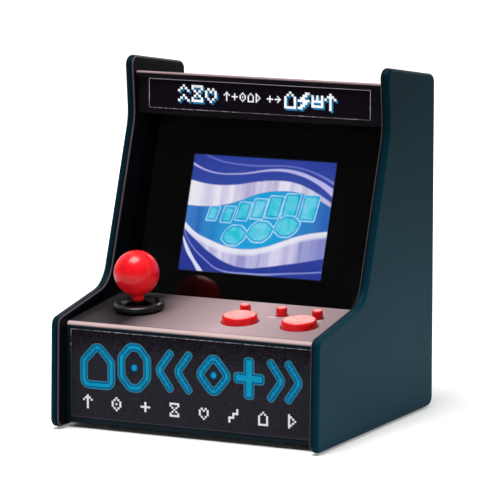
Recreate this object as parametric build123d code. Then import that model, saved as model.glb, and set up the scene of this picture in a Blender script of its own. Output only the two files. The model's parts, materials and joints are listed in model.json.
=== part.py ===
from build123d import *
import math
import os

os.makedirs("parts", exist_ok=True)

# A toy arcade cabinet that stands on a desk: two side panels, a shell between them that
# holds a small colour screen, a control deck with a joystick and buttons, and a rear
# cover with a speaker and three battery cells. Millimetres, +Z up, front towards -Y.
# The origin is on the surface it stands on, under the middle of the cabinet.

# ---- driving dimensions ------------------------------------------------------------
overall_width = 90.0
overall_depth = 84.5
panel_height = 109.5
panel_thickness = 3.0
panel_edge_radius = 1.1
panel_gap = 0.2  # between a side panel and what stands between the panels
foot_proud = 0.5  # how far the rubber feet hold the side panels off the surface

# side panel outline
panel_foot_rake = 1.0  # the front edge leans back this far up to the deck
deck_corner_height = 33.7
deck_edge_slope = 10.7  # degrees
deck_edge_run = 32.25
screen_edge_lean = 18.9  # degrees back from upright
notch_height = 90.0
crown_overhang = 1.6  # the crown comes forward of the notch by this much
crown_slope = 8.7  # degrees, down to the back
panel_corner_radius = 3.0
elbow_radius = 10.0
notch_radius = 17.0

# shell between the panels
wall = 2.0
cheek_wall = 1.8
marquee_setback = 51.9  # from the foremost edge of the panels to the marquee's face
marquee_bottom = 90.8
brow_proud = 1.3
brow_height = 2.0
roof_drop = 5.1  # how far the roof lies below the panels' tops
back_inset = 1.0  # the rear cover lies this far inside the panels' back edges
part_gap = 0.15  # between fixed mouldings

# screen
screen_lean = 18.5  # degrees back from upright
active_width = 48.96
active_height = 36.72
active_bottom_setback = 45.84  # lower edge of the picture, from the foremost edge
active_bottom_height = 43.45
module_side_margin = 5.62  # glass beyond the picture, left and right
module_end_margin = 2.99  # glass beyond the picture, above and below
glass_thickness = 0.7
backlight_thickness = 1.7
gasket_thickness = 0.3
border_thickness = 0.1
lens_thickness = 1.2
lens_tail = 9.5  # how far the lens goes on below the picture, behind the deck
bracket_thickness = 1.0
bracket_margin = 4.0  # how far the bracket reaches past the module's sides

# deck, in its own tilted frame: x across, y up the slope from the lip, z out of it
deck_tilt = 6.14  # degrees
lip_setback = 6.9  # top of the deck's front lip, from the foremost edge
lip_height = 32.4
apron_setback = 5.5  # face of the front panel, from the foremost edge
apron_bottom = 0.6
lip_radius = 1.7
toe_radius = 2.4
toe_length = 7.0

stick_x, stick_y = -26.7, 16.7
ring_radius, ring_hole_radius, ring_height = 7.85, 4.0, 2.5
ball_radius = 7.0
ball_height = 11.6  # centre of the ball above the deck
neck_radius = 1.9
pivot_depth = 4.8  # centre of the gimbal below the deck's face
pivot_ball_radius = 3.7
gimbal_inner, gimbal_outer, gimbal_height = 4.1, 5.6, 2.4
housing_inner, housing_wall = 6.3, 1.6
pivot_pin_radius = 0.6
pin_clearance = 0.05
actuator_radius, actuator_thickness = 4.4, 1.0

big_button_xs = {"button_a": 9.5, "button_b": 29.3}
big_button_y = 13.6
big_button_radius, big_button_proud = 5.35, 2.2
big_button_flare = 0.25
small_button_xs = {"power_button": 6.6, "menu_button": 18.9, "start_button": 30.8}
small_button_y = 23.2
small_button_radius, small_button_proud = 1.65, 2.6
small_button_flare = 0.05
button_clearance = 0.3
big_flange_extra, small_flange_extra = 0.45, 0.4  # flange beyond the hole's radius
collar_clearance, collar_wall = 0.2, 0.5  # the guide round each large button's flange

board_depth = 11.0  # top of the control board below the deck's face
board_thickness = 1.2
keypad_thickness = 0.8
keypad_dome_height = 2.4
stick_dome_height = 1.4

# main board, speaker and battery
main_board_height = 45.0
main_board_standoff = 8.6  # from the picture plane back to the board
speaker_radius, speaker_depth = 15.0, 10.0
speaker_drop = 1.3  # below the rear cover's top edge
cell_radius, cell_length, cell_pitch, cell_count = 7.15, 50.3, 14.8, 3
cell_clearance = 0.4
box_inner_width = 56.6
box_floor = 8.6
door_seat_depth = 0.2  # the door's ledge lies this far inside the rear wall's inner face
door_gap = 0.25
door_ledge = 1.4
box_wall = 2.0
tab_xs = (-15.0, 15.0)
tab_width, tab_thickness, tab_length = 8.0, 1.4, 2.3

screw_clearance = 0.05
label_thickness = 0.3

# ---- reference places worked out from them -----------------------------------------
inner_half = overall_width / 2 - panel_thickness
shell_half = inner_half - panel_gap
cheek_half = shell_half - cheek_wall
front_y = -overall_depth / 2
back_y = overall_depth / 2


def slope_rise(run, degrees):
    return run * math.tan(math.radians(degrees))


elbow_y = front_y + panel_foot_rake + deck_edge_run
elbow_z = deck_corner_height + slope_rise(deck_edge_run, deck_edge_slope)
notch_y = elbow_y + slope_rise(notch_height - elbow_z, screen_edge_lean)
crown_y = notch_y - crown_overhang
panel_back_top = panel_height - slope_rise(back_y - crown_y, crown_slope)

rear_face_y = back_y - back_inset
rear_inner_y = rear_face_y - wall
marquee_y = front_y + marquee_setback
brow_y = marquee_y - brow_proud


def roof_z(y):
    """Height of the roof's upper face."""
    return panel_height - roof_drop - slope_rise(y - brow_y, crown_slope)


roof_thickness = wall / math.cos(math.radians(crown_slope))  # measured upright
rear_cover_top = roof_z(rear_face_y) - roof_thickness - part_gap


apron_y = front_y + apron_setback
lip_y = front_y + lip_setback

deck_angle = math.radians(deck_tilt)
deck_place = Plane(
    origin=(0, lip_y, lip_height),
    x_dir=(1, 0, 0),
    z_dir=(0, -math.sin(deck_angle), math.cos(deck_angle)),
).location

screen_angle = math.radians(screen_lean)
screen_place = Plane(
    origin=(0, front_y + active_bottom_setback, active_bottom_height),
    x_dir=(1, 0, 0),
    z_dir=(0, -math.cos(screen_angle), math.sin(screen_angle)),
).location

# depths along the screen's own axis, 0 at the picture, + towards the player
seat_face = gasket_thickness
lens_back = seat_face + border_thickness
lens_front = lens_back + lens_thickness
module_back = -(glass_thickness + backlight_thickness)
bracket_back = module_back - bracket_thickness
board_front = -main_board_standoff
board_back = board_front - board_thickness
module_centre = active_height / 2
module_width = active_width + 2 * module_side_margin
module_height = active_height + 2 * module_end_margin


def screen_point(up, out):
    """(y, z) of a point `up` the screen from the picture's lower edge and `out` of it."""
    place = screen_place * Pos(0, up, out)
    return (place.position.Y, place.position.Z)


def deck_point(along, out):
    """(y, z) of a point `along` the deck from its lip and `out` of its face."""
    place = deck_place * Pos(0, along, out)
    return (place.position.Y, place.position.Z)


# ---- shared helpers ----------------------------------------------------------------
parts = {}


def keep(name, shape):
    """Store a finished sub-part under its node name."""
    parts[name] = shape


def block(xs, ys, zs):
    """Box between three (low, high) ranges."""
    middle = [(low + high) / 2 for low, high in (xs, ys, zs)]
    size = [high - low for low, high in (xs, ys, zs)]
    return Pos(*middle) * Box(*size)


def post(radius, low, high, x=0.0, y=0.0):
    """Cylinder along z from low to high."""
    return Pos(x, y, (low + high) / 2) * Cylinder(radius, high - low)


def prism(points, x_low, x_high):
    """Solid with an outline of (y, z) points, from x_low to x_high."""
    outline = Plane.YZ * make_face(Polyline(*points, close=True))
    return Pos(x_low, 0, 0) * extrude(outline, amount=x_high - x_low)


def left_offset(points, depth):
    """An open path moved `depth` to its left, with mitred corners."""
    count = len(points)
    runs = []
    for (y0, z0), (y1, z1) in zip(points, points[1:]):
        length = math.hypot(y1 - y0, z1 - z0)
        runs.append(((y1 - y0) / length, (z1 - z0) / length))
    moved = []
    for index, (y, z) in enumerate(points):
        before = runs[max(index - 1, 0)]
        after = runs[min(index, count - 2)]
        bisector = (before[0] + after[0], before[1] + after[1])
        size = math.hypot(*bisector)
        direction = (bisector[0] / size, bisector[1] / size)
        stretch = depth / (direction[0] * after[0] + direction[1] * after[1])
        moved.append((y - direction[1] * stretch, z + direction[0] * stretch))
    return moved


def strip(path, thickness, half_width):
    """Bent wall of one thickness, across the cabinet."""
    return prism(path + left_offset(path, thickness)[::-1], -half_width, half_width)


def edges_near(shape, y, z, reach=0.3):
    """Edges that run across the cabinet at a place in the side view."""
    found = []
    for edge in shape.edges().filter_by(Axis.X):
        middle = edge.center()
        if math.hypot(middle.Y - y, middle.Z - z) < reach:
            found.append(edge)
    return found


def screw(head_radius, head_height, shank_radius, length):
    """Pan-head screw with a cross recess: head above z 0, shank below."""
    body = post(head_radius, 0, head_height)
    body = fillet(body.edges().sort_by(Axis.Z)[-1], head_height * 0.6)
    body += post(shank_radius, -length, 0)
    slot = head_radius * 1.1
    for turn in (0, 90):
        body -= Pos(0, 0, head_height) * Rot(0, 0, turn) * Box(slot, 0.35, head_height)
    return body


def wire(points, radius, radii):
    """Round wire along straight runs joined by tangent arcs."""
    path = FilletPolyline(*points, radius=radii)
    section = Plane(origin=path @ 0, z_dir=path % 0) * Circle(radius)
    return sweep(section, path=path)


def bend_radii(points):
    """Arc radii of a route: 0.45 of the shorter run over the tangent of half the turn."""
    radii = []
    for a, b, c in zip(points, points[1:], points[2:]):
        before, after = Vector(*b) - Vector(*a), Vector(*c) - Vector(*b)
        turn = math.radians(before.get_angle(after))
        radii.append(0.45 * min(before.length, after.length) / math.tan(turn / 2))
    return radii


def routed_wire(points, radius):
    return wire(points, radius, bend_radii(points))


def ribbon(points, width, thickness, x_middle):
    """Flat cable whose route is a list of (y, z) points."""
    route = [(x_middle, y, z) for y, z in points]
    path = FilletPolyline(*route, radius=bend_radii(route))
    section = Plane(origin=path @ 0, x_dir=(1, 0, 0), z_dir=path % 0)
    return sweep(section * Rectangle(width, thickness), path=path)


# ---- side panels -------------------------------------------------------------------
side_screw_spots = [
    (front_y + 11.0, 13.0),
    (front_y + 34.0, 13.0),
    (back_y - 34.0, 20.0),
    (back_y - 7.0, 32.0),
    (back_y - 7.0, 74.0),
    (back_y - 23.0, 95.5),
]
side_screw_radius, side_screw_length = 1.0, 3.9
side_screw_head, side_screw_head_height = 1.9, 1.1


def side_panel(side):
    corners = [
        (front_y, 0),
        (front_y + panel_foot_rake, deck_corner_height),
        (elbow_y, elbow_z),
        (notch_y, notch_height),
        (crown_y, panel_height),
        (back_y, panel_back_top),
        (back_y, 0),
    ]
    corner = panel_corner_radius
    radii = [corner, corner, elbow_radius, notch_radius, corner, corner, corner]
    outline = Plane.YZ * make_face(FilletPolyline(*corners, radius=radii, close=True))
    panel = extrude(outline, amount=panel_thickness)
    panel = fillet(panel.edges(), panel_edge_radius)
    hole_depth = side_screw_length - cheek_wall - panel_gap + 0.2
    for y, z in side_screw_spots:
        hole = Plane.YZ.location * Pos(y, z, hole_depth / 2)
        panel -= hole * Cylinder(side_screw_radius + screw_clearance, hole_depth)
    panel = Pos(inner_half, 0, 0) * panel
    return panel if side > 0 else mirror(panel, about=Plane.YZ)


keep("side_panel_right", side_panel(1))
keep("side_panel_left", side_panel(-1))


def side_screws():
    found = []
    for side in (-1, 1):
        for y, z in side_screw_spots:
            place = Plane(origin=(side * cheek_half, y, z), z_dir=(-side, 0, 0)).location
            found.append(
                place
                * screw(
                    side_screw_head, side_screw_head_height, side_screw_radius, side_screw_length
                )
            )
    return Compound(children=found)


keep("side_screws", side_screws())


def bore_for_side_screws(shape):
    for y, z in side_screw_spots:
        hole = Plane.YZ.location * Pos(y, z, 0)
        shape -= hole * Cylinder(side_screw_radius + screw_clearance, overall_width)
    return shape


# ---- front shell -------------------------------------------------------------------
seat_tail = lens_tail + 1.5  # the seat goes on a little below the lens
underside_back = screen_point(0, seat_face)
underside_y = underside_back[0] + slope_rise(marquee_bottom - underside_back[1], screen_lean)
seat_bottom = screen_point(-seat_tail, seat_face)
joint_y = seat_bottom[0]
shell_bottom = 0.8
base_top = 2.6

bracket_screw_x = module_width / 2 + 2.2
bracket_screw_rise = module_height / 2 + 1.65
bracket_screw_spots = [
    (side * bracket_screw_x, module_centre + end * bracket_screw_rise)
    for side in (-1, 1)
    for end in (-1, 1)
]
main_post_radius = 2.2
main_screw_x = cheek_half - main_post_radius - 1.3
main_screw_spots = [(x, up) for x in (-main_screw_x, main_screw_x) for up in (0.5, 38.5)]
rear_post_radius, rear_post_length = 2.9, 18.0
rear_screw_x = cheek_half - rear_post_radius + 0.1
rear_screw_spots = [(x, z) for x in (-rear_screw_x, rear_screw_x) for z in (14.0, 90.0)]
rear_screw_radius, rear_screw_length = 1.0, 8.0
rear_head_radius, rear_head_height = 2.0, 1.0
small_screw_radius, small_head_radius, small_head_height = 0.8, 1.5, 0.9
base_post_radius, base_post_top = 2.8, 9.0
base_screw_x = cheek_half - base_post_radius + 0.1
base_screw_spots = [
    (x, y) for x in (-base_screw_x, base_screw_x) for y in (front_y + 16.0, back_y - 10.0)
]


def base_posts(shape, front):
    """Add the screw posts that take the base plate, at the front or at the back."""
    for x, y in base_screw_spots:
        if (y < joint_y) == front:
            shape += post(base_post_radius, base_top, base_post_top, x, y)
            shape -= post(small_screw_radius + screw_clearance, 0, base_post_top - 1, x, y)
    return shape


def front_shell():
    roof_back = (rear_face_y, roof_z(rear_face_y))
    path = [
        roof_back,
        (marquee_y, roof_z(marquee_y)),
        (marquee_y, marquee_bottom),
        (underside_y, marquee_bottom),
        seat_bottom,
    ]
    shell = strip(path, wall, shell_half)
    cheek = path + [
        (joint_y, shell_bottom),
        (rear_inner_y - part_gap, shell_bottom),
        (rear_inner_y - part_gap, roof_z(rear_inner_y)),
    ]
    cheek = cheek[1:]
    for x_low, x_high in ((-shell_half, -cheek_half), (cheek_half, shell_half)):
        shell += prism(cheek, x_low, x_high)
    brow_points = [
        (brow_y, roof_z(brow_y) - brow_height),
        (brow_y, roof_z(brow_y)),
        (marquee_y + 1.0, roof_z(marquee_y + 1.0)),
        (marquee_y + 1.0, roof_z(brow_y) - brow_height),
    ]
    shell += prism(brow_points, -shell_half, shell_half)
    shell = fillet(edges_near(shell, brow_y, roof_z(brow_y)), 1.2)
    shell = fillet(edges_near(shell, brow_y, roof_z(brow_y) - brow_height), 0.5)
    shell = fillet(edges_near(shell, marquee_y, marquee_bottom), 0.8)
    # window for the screen module
    shell -= screen_place * block(
        (-module_width / 2 - part_gap, module_width / 2 + part_gap),
        (
            module_centre - module_height / 2 - part_gap,
            module_centre + module_height / 2 + part_gap,
        ),
        (-wall - 1.0, seat_face + 1.0),
    )
    shell -= marquee_recess(label_thickness)
    # posts for the screen bracket and the main board
    seat_back = seat_face - wall
    for x, up in bracket_screw_spots:
        shell += screen_place * post(2.0, module_back, seat_back, x, up)
        shell -= screen_place * post(
            small_screw_radius + screw_clearance, module_back - 1, -0.9, x, up
        )
    for x, up in main_screw_spots:
        shell += screen_place * post(main_post_radius, board_front, seat_back, x, up)
        shell -= screen_place * post(
            small_screw_radius + screw_clearance, board_front - 1, board_front + 4.6, x, up
        )
    # posts for the rear cover
    post_back = rear_inner_y - part_gap
    for x, z in rear_screw_spots:
        place = Plane.XZ.location * Pos(x, z, 0)
        shell += place * post(rear_post_radius, -post_back, rear_post_length - post_back)
        hole = post(
            rear_screw_radius + screw_clearance, -post_back - 1, rear_screw_length - post_back
        )
        shell -= place * hole
    # anything of a post that would stand outside the cheeks
    shell &= block((-shell_half, shell_half), (front_y, back_y), (0, panel_height))
    shell = base_posts(shell, front=False)
    return bore_for_side_screws(shell)


label_half_width = shell_half - 3.8
marquee_label_zs = (marquee_bottom + 1.9, marquee_bottom + 11.3)


def marquee_recess(depth):
    """The shallow pocket, or the label that fills it, in the marquee's face."""
    return block(
        (-label_half_width, label_half_width),
        (marquee_y, marquee_y + depth),
        marquee_label_zs,
    )


keep("front_shell", front_shell())
keep(
    "marquee_label",
    block(
        (-label_half_width + 0.1, label_half_width - 0.1),
        (marquee_y + 0.05, marquee_y + label_thickness),
        (marquee_label_zs[0] + 0.1, marquee_label_zs[1] - 0.1),
    ),
)

# ---- screen ------------------------------------------------------------------------
lens_top = (marquee_bottom - part_gap - active_bottom_height) / math.cos(screen_angle)
lens_top -= lens_front * math.tan(screen_angle)
lens_half = shell_half - 0.1


def framed_plate(outer, inner, ys, zs):
    """Plate with a rectangular window, in the screen's frame."""
    plate = block((-outer[0], outer[0]), ys, zs)
    window = block(
        (-inner[0], inner[0]),
        (module_centre - inner[1], module_centre + inner[1]),
        (zs[0] - 1, zs[1] + 1),
    )
    return screen_place * (plate - window)


keep(
    "screen_lens",
    screen_place
    * block((-lens_half, lens_half), (-lens_tail, lens_top), (lens_back, lens_front)),
)
window_margin = 0.3
keep(
    "lens_border",
    framed_plate(
        (lens_half, 0),
        (active_width / 2 + window_margin, active_height / 2 + window_margin),
        (-lens_tail, lens_top),
        (seat_face, lens_back),
    ),
)
keep(
    "lcd_gasket",
    framed_plate(
        (module_width / 2 - 0.6, 0),
        (active_width / 2 + 0.8, active_height / 2 + 0.8),
        (module_centre - module_height / 2 + 0.3, module_centre + module_height / 2 - 0.3),
        (0, seat_face),
    ),
)
module_ys = (module_centre - module_height / 2, module_centre + module_height / 2)
keep(
    "lcd_glass",
    screen_place
    * block((-module_width / 2, module_width / 2), module_ys, (-glass_thickness, 0)),
)
keep(
    "lcd_backlight",
    screen_place
    * block(
        (-module_width / 2, module_width / 2), module_ys, (module_back, -glass_thickness)
    ),
)

bracket_half_width = module_width / 2 + bracket_margin
bracket_half_height = bracket_screw_rise + 3.0
flex_half_width = 8.0


def lcd_bracket():
    plate = framed_plate(
        (bracket_half_width, 0),
        (20.0, 12.0),
        (module_centre - bracket_half_height, module_centre + bracket_half_height),
        (bracket_back, module_back),
    )
    notch = block(
        (-flex_half_width - 1, flex_half_width + 1),
        (module_centre - bracket_half_height - 1, module_ys[0] + 1.5),
        (bracket_back - 1, module_back + 1),
    )
    plate -= screen_place * notch
    for x, up in bracket_screw_spots:
        plate -= screen_place * post(
            small_screw_radius + 0.15, bracket_back - 1, module_back + 1, x, up
        )
    return plate


keep("lcd_bracket", lcd_bracket())


def small_screws(place, spots, seat_z, length, side):
    """Small screws with their heads on a face at seat_z; side -1 points heads down."""
    turned = Rot(0, 0, 0) if side > 0 else Rot(180, 0, 0)
    one = screw(small_head_radius, small_head_height, small_screw_radius, length)
    return Compound(children=[place * Pos(x, y, seat_z) * turned * one for x, y in spots])


keep("lcd_screws", small_screws(screen_place, bracket_screw_spots, bracket_back, 2.3, -1))

# ---- control deck ------------------------------------------------------------------
control_board_half = cheek_half - 1.8
control_screw_x = control_board_half - 2.6
control_screw_spots = [(x, y) for x in (-control_screw_x, control_screw_x) for y in (7.0, 28.6)]
control_screw_spots.append((-9.0, 20.0))
deck_hole_radius = 5.5
big_hole_radius = big_button_radius + big_button_flare + button_clearance
small_hole_radius = small_button_radius + small_button_flare + button_clearance
apron_label_zs = (2.9, 30.2)
apron_label_half = shell_half - 1.2


def control_deck():
    deck_end_y = joint_y - part_gap
    deck_back = deck_point((deck_end_y - lip_y) / math.cos(deck_angle), 0)
    lip = (apron_y, lip_height - slope_rise(lip_y - apron_y, deck_tilt))
    toe = (apron_y, apron_bottom)
    path = [deck_back, lip, toe, (apron_y + toe_length, apron_bottom)]
    deck = strip(path, wall, shell_half)
    cheek = path[:3] + [(deck_end_y, apron_bottom)]
    for x_low, x_high in ((-shell_half, -cheek_half), (cheek_half, shell_half)):
        deck += prism(cheek, x_low, x_high)
    deck = fillet(edges_near(deck, *lip), lip_radius)
    deck = fillet(edges_near(deck, *toe), toe_radius)
    for spot in control_screw_spots:
        deck += deck_place * post(2.25, -board_depth, -wall, *spot)
        deck -= deck_place * post(
            small_screw_radius + screw_clearance, -board_depth - 1, -board_depth + 4, *spot
        )
    # holes and guide collars
    deck -= deck_place * post(deck_hole_radius, -wall - 1, 1, stick_x, stick_y)
    collar_inner = big_hole_radius + big_flange_extra + collar_clearance
    for x in big_button_xs.values():
        deck += deck_place * post(collar_inner + collar_wall, -6.6, -wall, x, big_button_y)
        deck -= deck_place * post(collar_inner, -7, -wall, x, big_button_y)
        deck -= deck_place * post(big_hole_radius, -7, 1, x, big_button_y)
    for x in small_button_xs.values():
        deck -= deck_place * post(small_hole_radius, -wall - 1, 1, x, small_button_y)
    # room for the lens and its seat
    deck -= screen_place * block(
        (-overall_width, overall_width), (-seat_tail - 0.5, 90), (-40, lens_front + part_gap)
    )
    deck -= block(
        (-apron_label_half, apron_label_half),
        (apron_y - 1, apron_y + label_thickness),
        apron_label_zs,
    )
    deck = base_posts(deck, front=True)
    return bore_for_side_screws(deck)


keep("control_deck", control_deck())
keep(
    "front_label",
    block(
        (-apron_label_half + 0.1, apron_label_half - 0.1),
        (apron_y + 0.05, apron_y + label_thickness),
        (apron_label_zs[0] + 0.1, apron_label_zs[1] - 0.1),
    ),
)

# ---- joystick ----------------------------------------------------------------------
stick_place = deck_place * Pos(stick_x, stick_y, 0)
keypad_top = -board_depth + keypad_thickness


def joystick_ring():
    ring = post(ring_radius, 0, ring_height)
    ring -= post(ring_hole_radius, -1, ring_height + 1)
    ring = fillet(ring.edges().group_by(Axis.Z)[-1], 1.1)
    skirt = post(deck_hole_radius - 0.1, -wall, 0) - post(ring_hole_radius + 0.4, -wall, 0)
    return stick_place * (ring + skirt)


keep("joystick_ring", joystick_ring())
shaft_top = ball_height - ball_radius - 1.6
stem_radius = 1.5


def joystick_ball():
    ball = Pos(0, 0, ball_height) * Sphere(ball_radius)
    ball += post(neck_radius, shaft_top, ball_height)
    ball -= post(stem_radius, shaft_top - 1, ball_height)
    return stick_place * ball


keep("joystick_ball", joystick_ball())


def joystick_shaft():
    pivot = -pivot_depth
    actuator_top = keypad_top + stick_dome_height + 0.2 + actuator_thickness
    shaft = Pos(0, 0, pivot) * Sphere(pivot_ball_radius)
    shaft -= post(2 * pivot_ball_radius, pivot - 2 * pivot_ball_radius, actuator_top)
    shaft += post(neck_radius, pivot, shaft_top)
    shaft += post(stem_radius, shaft_top, ball_height)
    shaft += post(stem_radius, actuator_top - 0.5, pivot)
    across = stick_place * Pos(0, 0, pivot) * Rot(0, 90, 0)
    return stick_place * shaft - across * Cylinder(pivot_pin_radius, 20)


def joystick_actuator():
    low = keypad_top + stick_dome_height + 0.2
    disc = post(actuator_radius, low, low + actuator_thickness)
    return disc - post(stem_radius, low + 0.5, low + 3)


keep("joystick_shaft", joystick_shaft())
keep("joystick_actuator", stick_place * joystick_actuator())


def gimbal_ring():
    low, high = -pivot_depth - gimbal_height / 2, -pivot_depth + gimbal_height / 2
    ring = post(gimbal_outer, low, high) - post(gimbal_inner, low - 1, high + 1)
    centre = Pos(0, 0, -pivot_depth)
    ring -= centre * Rot(0, 90, 0) * Cylinder(pivot_pin_radius + pin_clearance, 20)
    ring -= centre * Rot(90, 0, 0) * Cylinder(pivot_pin_radius, 20)
    return stick_place * ring


keep("gimbal_ring", gimbal_ring())
stick_pin = Rot(0, 90, 0) * Cylinder(pivot_pin_radius, 2 * gimbal_outer - 0.6)
keep("stick_pin", stick_place * Pos(0, 0, -pivot_depth) * stick_pin)


def gimbal_pins():
    length = housing_inner + housing_wall - 0.2 - gimbal_inner
    middle = gimbal_inner + length / 2
    found = []
    for side in (-1, 1):
        place = stick_place * Pos(0, side * middle, -pivot_depth) * Rot(90, 0, 0)
        found.append(place * Cylinder(pivot_pin_radius, length))
    return Compound(children=found)


keep("gimbal_pins", gimbal_pins())


def joystick_housing():
    outer = housing_inner + housing_wall
    cup = post(outer, keypad_top, -wall) - post(housing_inner, keypad_top - 1, 0)
    cup -= (
        Pos(0, 0, -pivot_depth)
        * Rot(90, 0, 0)
        * Cylinder(pivot_pin_radius + pin_clearance, 3 * outer)
    )
    return stick_place * cup


keep("joystick_housing", joystick_housing())

# ---- buttons -----------------------------------------------------------------------
dome_top = keypad_top + keypad_dome_height


def button(radius, flare, proud, hole_radius, flange_extra, stem, x, y):
    """Push button: a slightly flared cap, a flange under the deck and a stem."""
    under = -wall - 0.1
    cap = Pos(0, 0, proud / 2) * Cone(radius + flare, radius, proud)
    cap = fillet(cap.edges().sort_by(Axis.Z)[-1], min(0.6, radius * 0.4))
    cap += post(radius + flare, under, 0)
    cap += post(hole_radius + flange_extra, under - 1.3, under)
    cap += post(stem, dome_top + 0.05, under - 1.3)
    return deck_place * Pos(x, y, 0) * cap


for name, x in big_button_xs.items():
    keep(
        name,
        button(
            big_button_radius,
            big_button_flare,
            big_button_proud,
            big_hole_radius,
            big_flange_extra,
            2.0,
            x,
            big_button_y,
        ),
    )
for name, x in small_button_xs.items():
    keep(
        name,
        button(
            small_button_radius,
            small_button_flare,
            small_button_proud,
            small_hole_radius,
            small_flange_extra,
            1.0,
            x,
            small_button_y,
        ),
    )


start_x = small_button_xs["start_button"]


def rubber_keypad():
    sheet = block(
        (stick_x - 7.5, start_x + 4.5), (5.2, 27.4), (-board_depth, keypad_top)
    )
    sheet = sheet - post(3.0, -board_depth - 1, keypad_top + 1, *control_screw_spots[-1])
    for spot in control_screw_spots[:4]:
        sheet -= post(3.0, -board_depth - 1, keypad_top + 1, *spot)

    def dome(x, y, low_radius, high_radius, height):
        return Pos(x, y, keypad_top + height / 2) * Cone(low_radius, high_radius, height)

    for x in big_button_xs.values():
        sheet += dome(x, big_button_y, 3.6, 2.3, keypad_dome_height)
    for x in small_button_xs.values():
        sheet += dome(x, small_button_y, 2.1, 1.3, keypad_dome_height)
    for dx, dy in ((3.1, 0), (-3.1, 0), (0, 3.1), (0, -3.1)):
        sheet += dome(stick_x + dx, stick_y + dy, 1.2, 0.8, stick_dome_height)
    return deck_place * sheet


keep("rubber_keypad", rubber_keypad())


def control_board():
    low = -board_depth - board_thickness
    board = block((-control_board_half, control_board_half), (3.0, 31.0), (low, -board_depth))
    for spot in control_screw_spots:
        board -= post(small_screw_radius + 0.15, low - 1, 0, *spot)
    return deck_place * board


keep("control_board", control_board())
control_seat = -board_depth - board_thickness
keep(
    "control_screws", small_screws(deck_place, control_screw_spots, control_seat, 4.5, -1)
)

# ---- main board --------------------------------------------------------------------
board_middle = 19.5
main_board_width = 2 * (cheek_half - 1.5)


def main_board():
    board = block(
        (-main_board_width / 2, main_board_width / 2),
        (board_middle - main_board_height / 2, board_middle + main_board_height / 2),
        (board_back, board_front),
    )
    for spot in main_screw_spots:
        board -= post(small_screw_radius + 0.15, board_back - 1, board_front + 1, *spot)
    return screen_place * board


keep("main_board", main_board())
keep(
    "main_board_screws", small_screws(screen_place, main_screw_spots, board_back, 5.0, -1)
)


def board_chips():
    """Processor, memory, crystal and two capacitors on the back of the main board."""
    low = board_back
    found = [
        block((-7, 7), (20, 34), (low - 1.4, low)),
        block((12, 18), (18, 28), (low - 1.2, low)),
        block((-21, -13), (10, 14), (low - 1.2, low)),
    ]
    found.append(post(2.5, low - 3.0, low, 20, 6))
    found.append(post(2.5, low - 3.0, low, 27, 6))
    return Compound(children=[screen_place * chip for chip in found])


keep("board_chips", board_chips())

speaker_plug = (27.0, 33.0)
positive_plug = (-33.4, 8.0)
negative_plug = (33.4, 21.0)
plug_depth = 3.2
main_ffc_ys = (-1.0, 3.0)
main_ffc_middle = board_back - 1.0
flex_ffc_ys = (0.0, 3.0)
flex_ffc_middle = board_front + 0.8
ribbon_width = 10.0
control_ffc_ys = (24.8, 28.2)
control_ffc_middle = control_seat - 1.0


def board_connectors():
    """Wire plugs and flat-cable sockets on both boards."""
    found = []
    for x, up in (speaker_plug, positive_plug, negative_plug):
        found.append(
            screen_place
            * block((x - 2.6, x + 2.6), (up - 2, up + 2), (board_back - plug_depth, board_back))
        )
    found.append(
        screen_place
        * block((-6, 6), main_ffc_ys, (main_ffc_middle - 1.0, board_back))
    )
    found.append(
        screen_place
        * block(
            (-flex_half_width - 0.7, flex_half_width + 0.7),
            flex_ffc_ys,
            (board_front, flex_ffc_middle + 0.8),
        )
    )
    found.append(
        deck_place * block((-6, 6), control_ffc_ys, (control_ffc_middle - 1.0, control_seat))
    )
    return Compound(children=found)


keep("board_connectors", board_connectors())


def control_ribbon():
    start = deck_point(control_ffc_ys[1], control_ffc_middle)
    after_start = deck_point(control_ffc_ys[1] + 10.0, control_ffc_middle)
    before_end = screen_point(main_ffc_ys[0] - 8.0, main_ffc_middle)
    end = screen_point(main_ffc_ys[0], main_ffc_middle)
    return ribbon([start, after_start, before_end, end], ribbon_width, 0.3, 0.0)


keep("control_ribbon", control_ribbon())


def lcd_flex():
    depth = seat_face - wall - 0.25
    turn = module_ys[0] - 4.6
    route = [
        screen_point(module_ys[0], depth),
        screen_point(turn, depth),
        screen_point(turn, flex_ffc_middle),
        screen_point(flex_ffc_ys[0], flex_ffc_middle),
    ]
    return ribbon(route, 2 * flex_half_width, 0.2, 0.0)


keep("lcd_flex", lcd_flex())

# ---- rear cover with the battery box -----------------------------------------------
box_inner_half = box_inner_width / 2
box_outer_half = box_inner_half + box_wall
box_height = cell_count * cell_pitch + cell_clearance
box_ceiling = box_floor + box_height
box_depth = 2 * cell_radius + cell_clearance
box_front_y = rear_inner_y - box_depth
opening_half = box_inner_half + door_ledge
opening_zs = (box_floor - door_ledge, box_ceiling + door_ledge)
ear_half, ear_height = 5.0, 7.0
door_screw_z = opening_zs[1] + 3.4
door_seat_y = rear_inner_y + door_seat_depth
slot_front_y = rear_inner_y - 3.0
cell_zs = [box_floor + cell_clearance / 2 + cell_pitch * (n + 0.5) for n in range(cell_count)]
cell_y = rear_inner_y - box_depth / 2
contact_thickness = 0.4
tail_x = box_outer_half + 1.2


def grille_holes():
    """Sound holes in rings about the speaker's axis."""
    found = [(0.0, 0.0)]
    for ring in (1, 2, 3):
        for step in range(6 * ring):
            turn = 2 * math.pi * step / (6 * ring)
            found.append((3.3 * ring * math.cos(turn), 3.3 * ring * math.sin(turn)))
    return found


speaker_height = rear_cover_top - speaker_radius - speaker_drop
speaker_screw_spots = [(x, z) for x in (-12.1, 12.1) for z in (-12.1, 12.1)]
speaker_flange = 1.2


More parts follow.
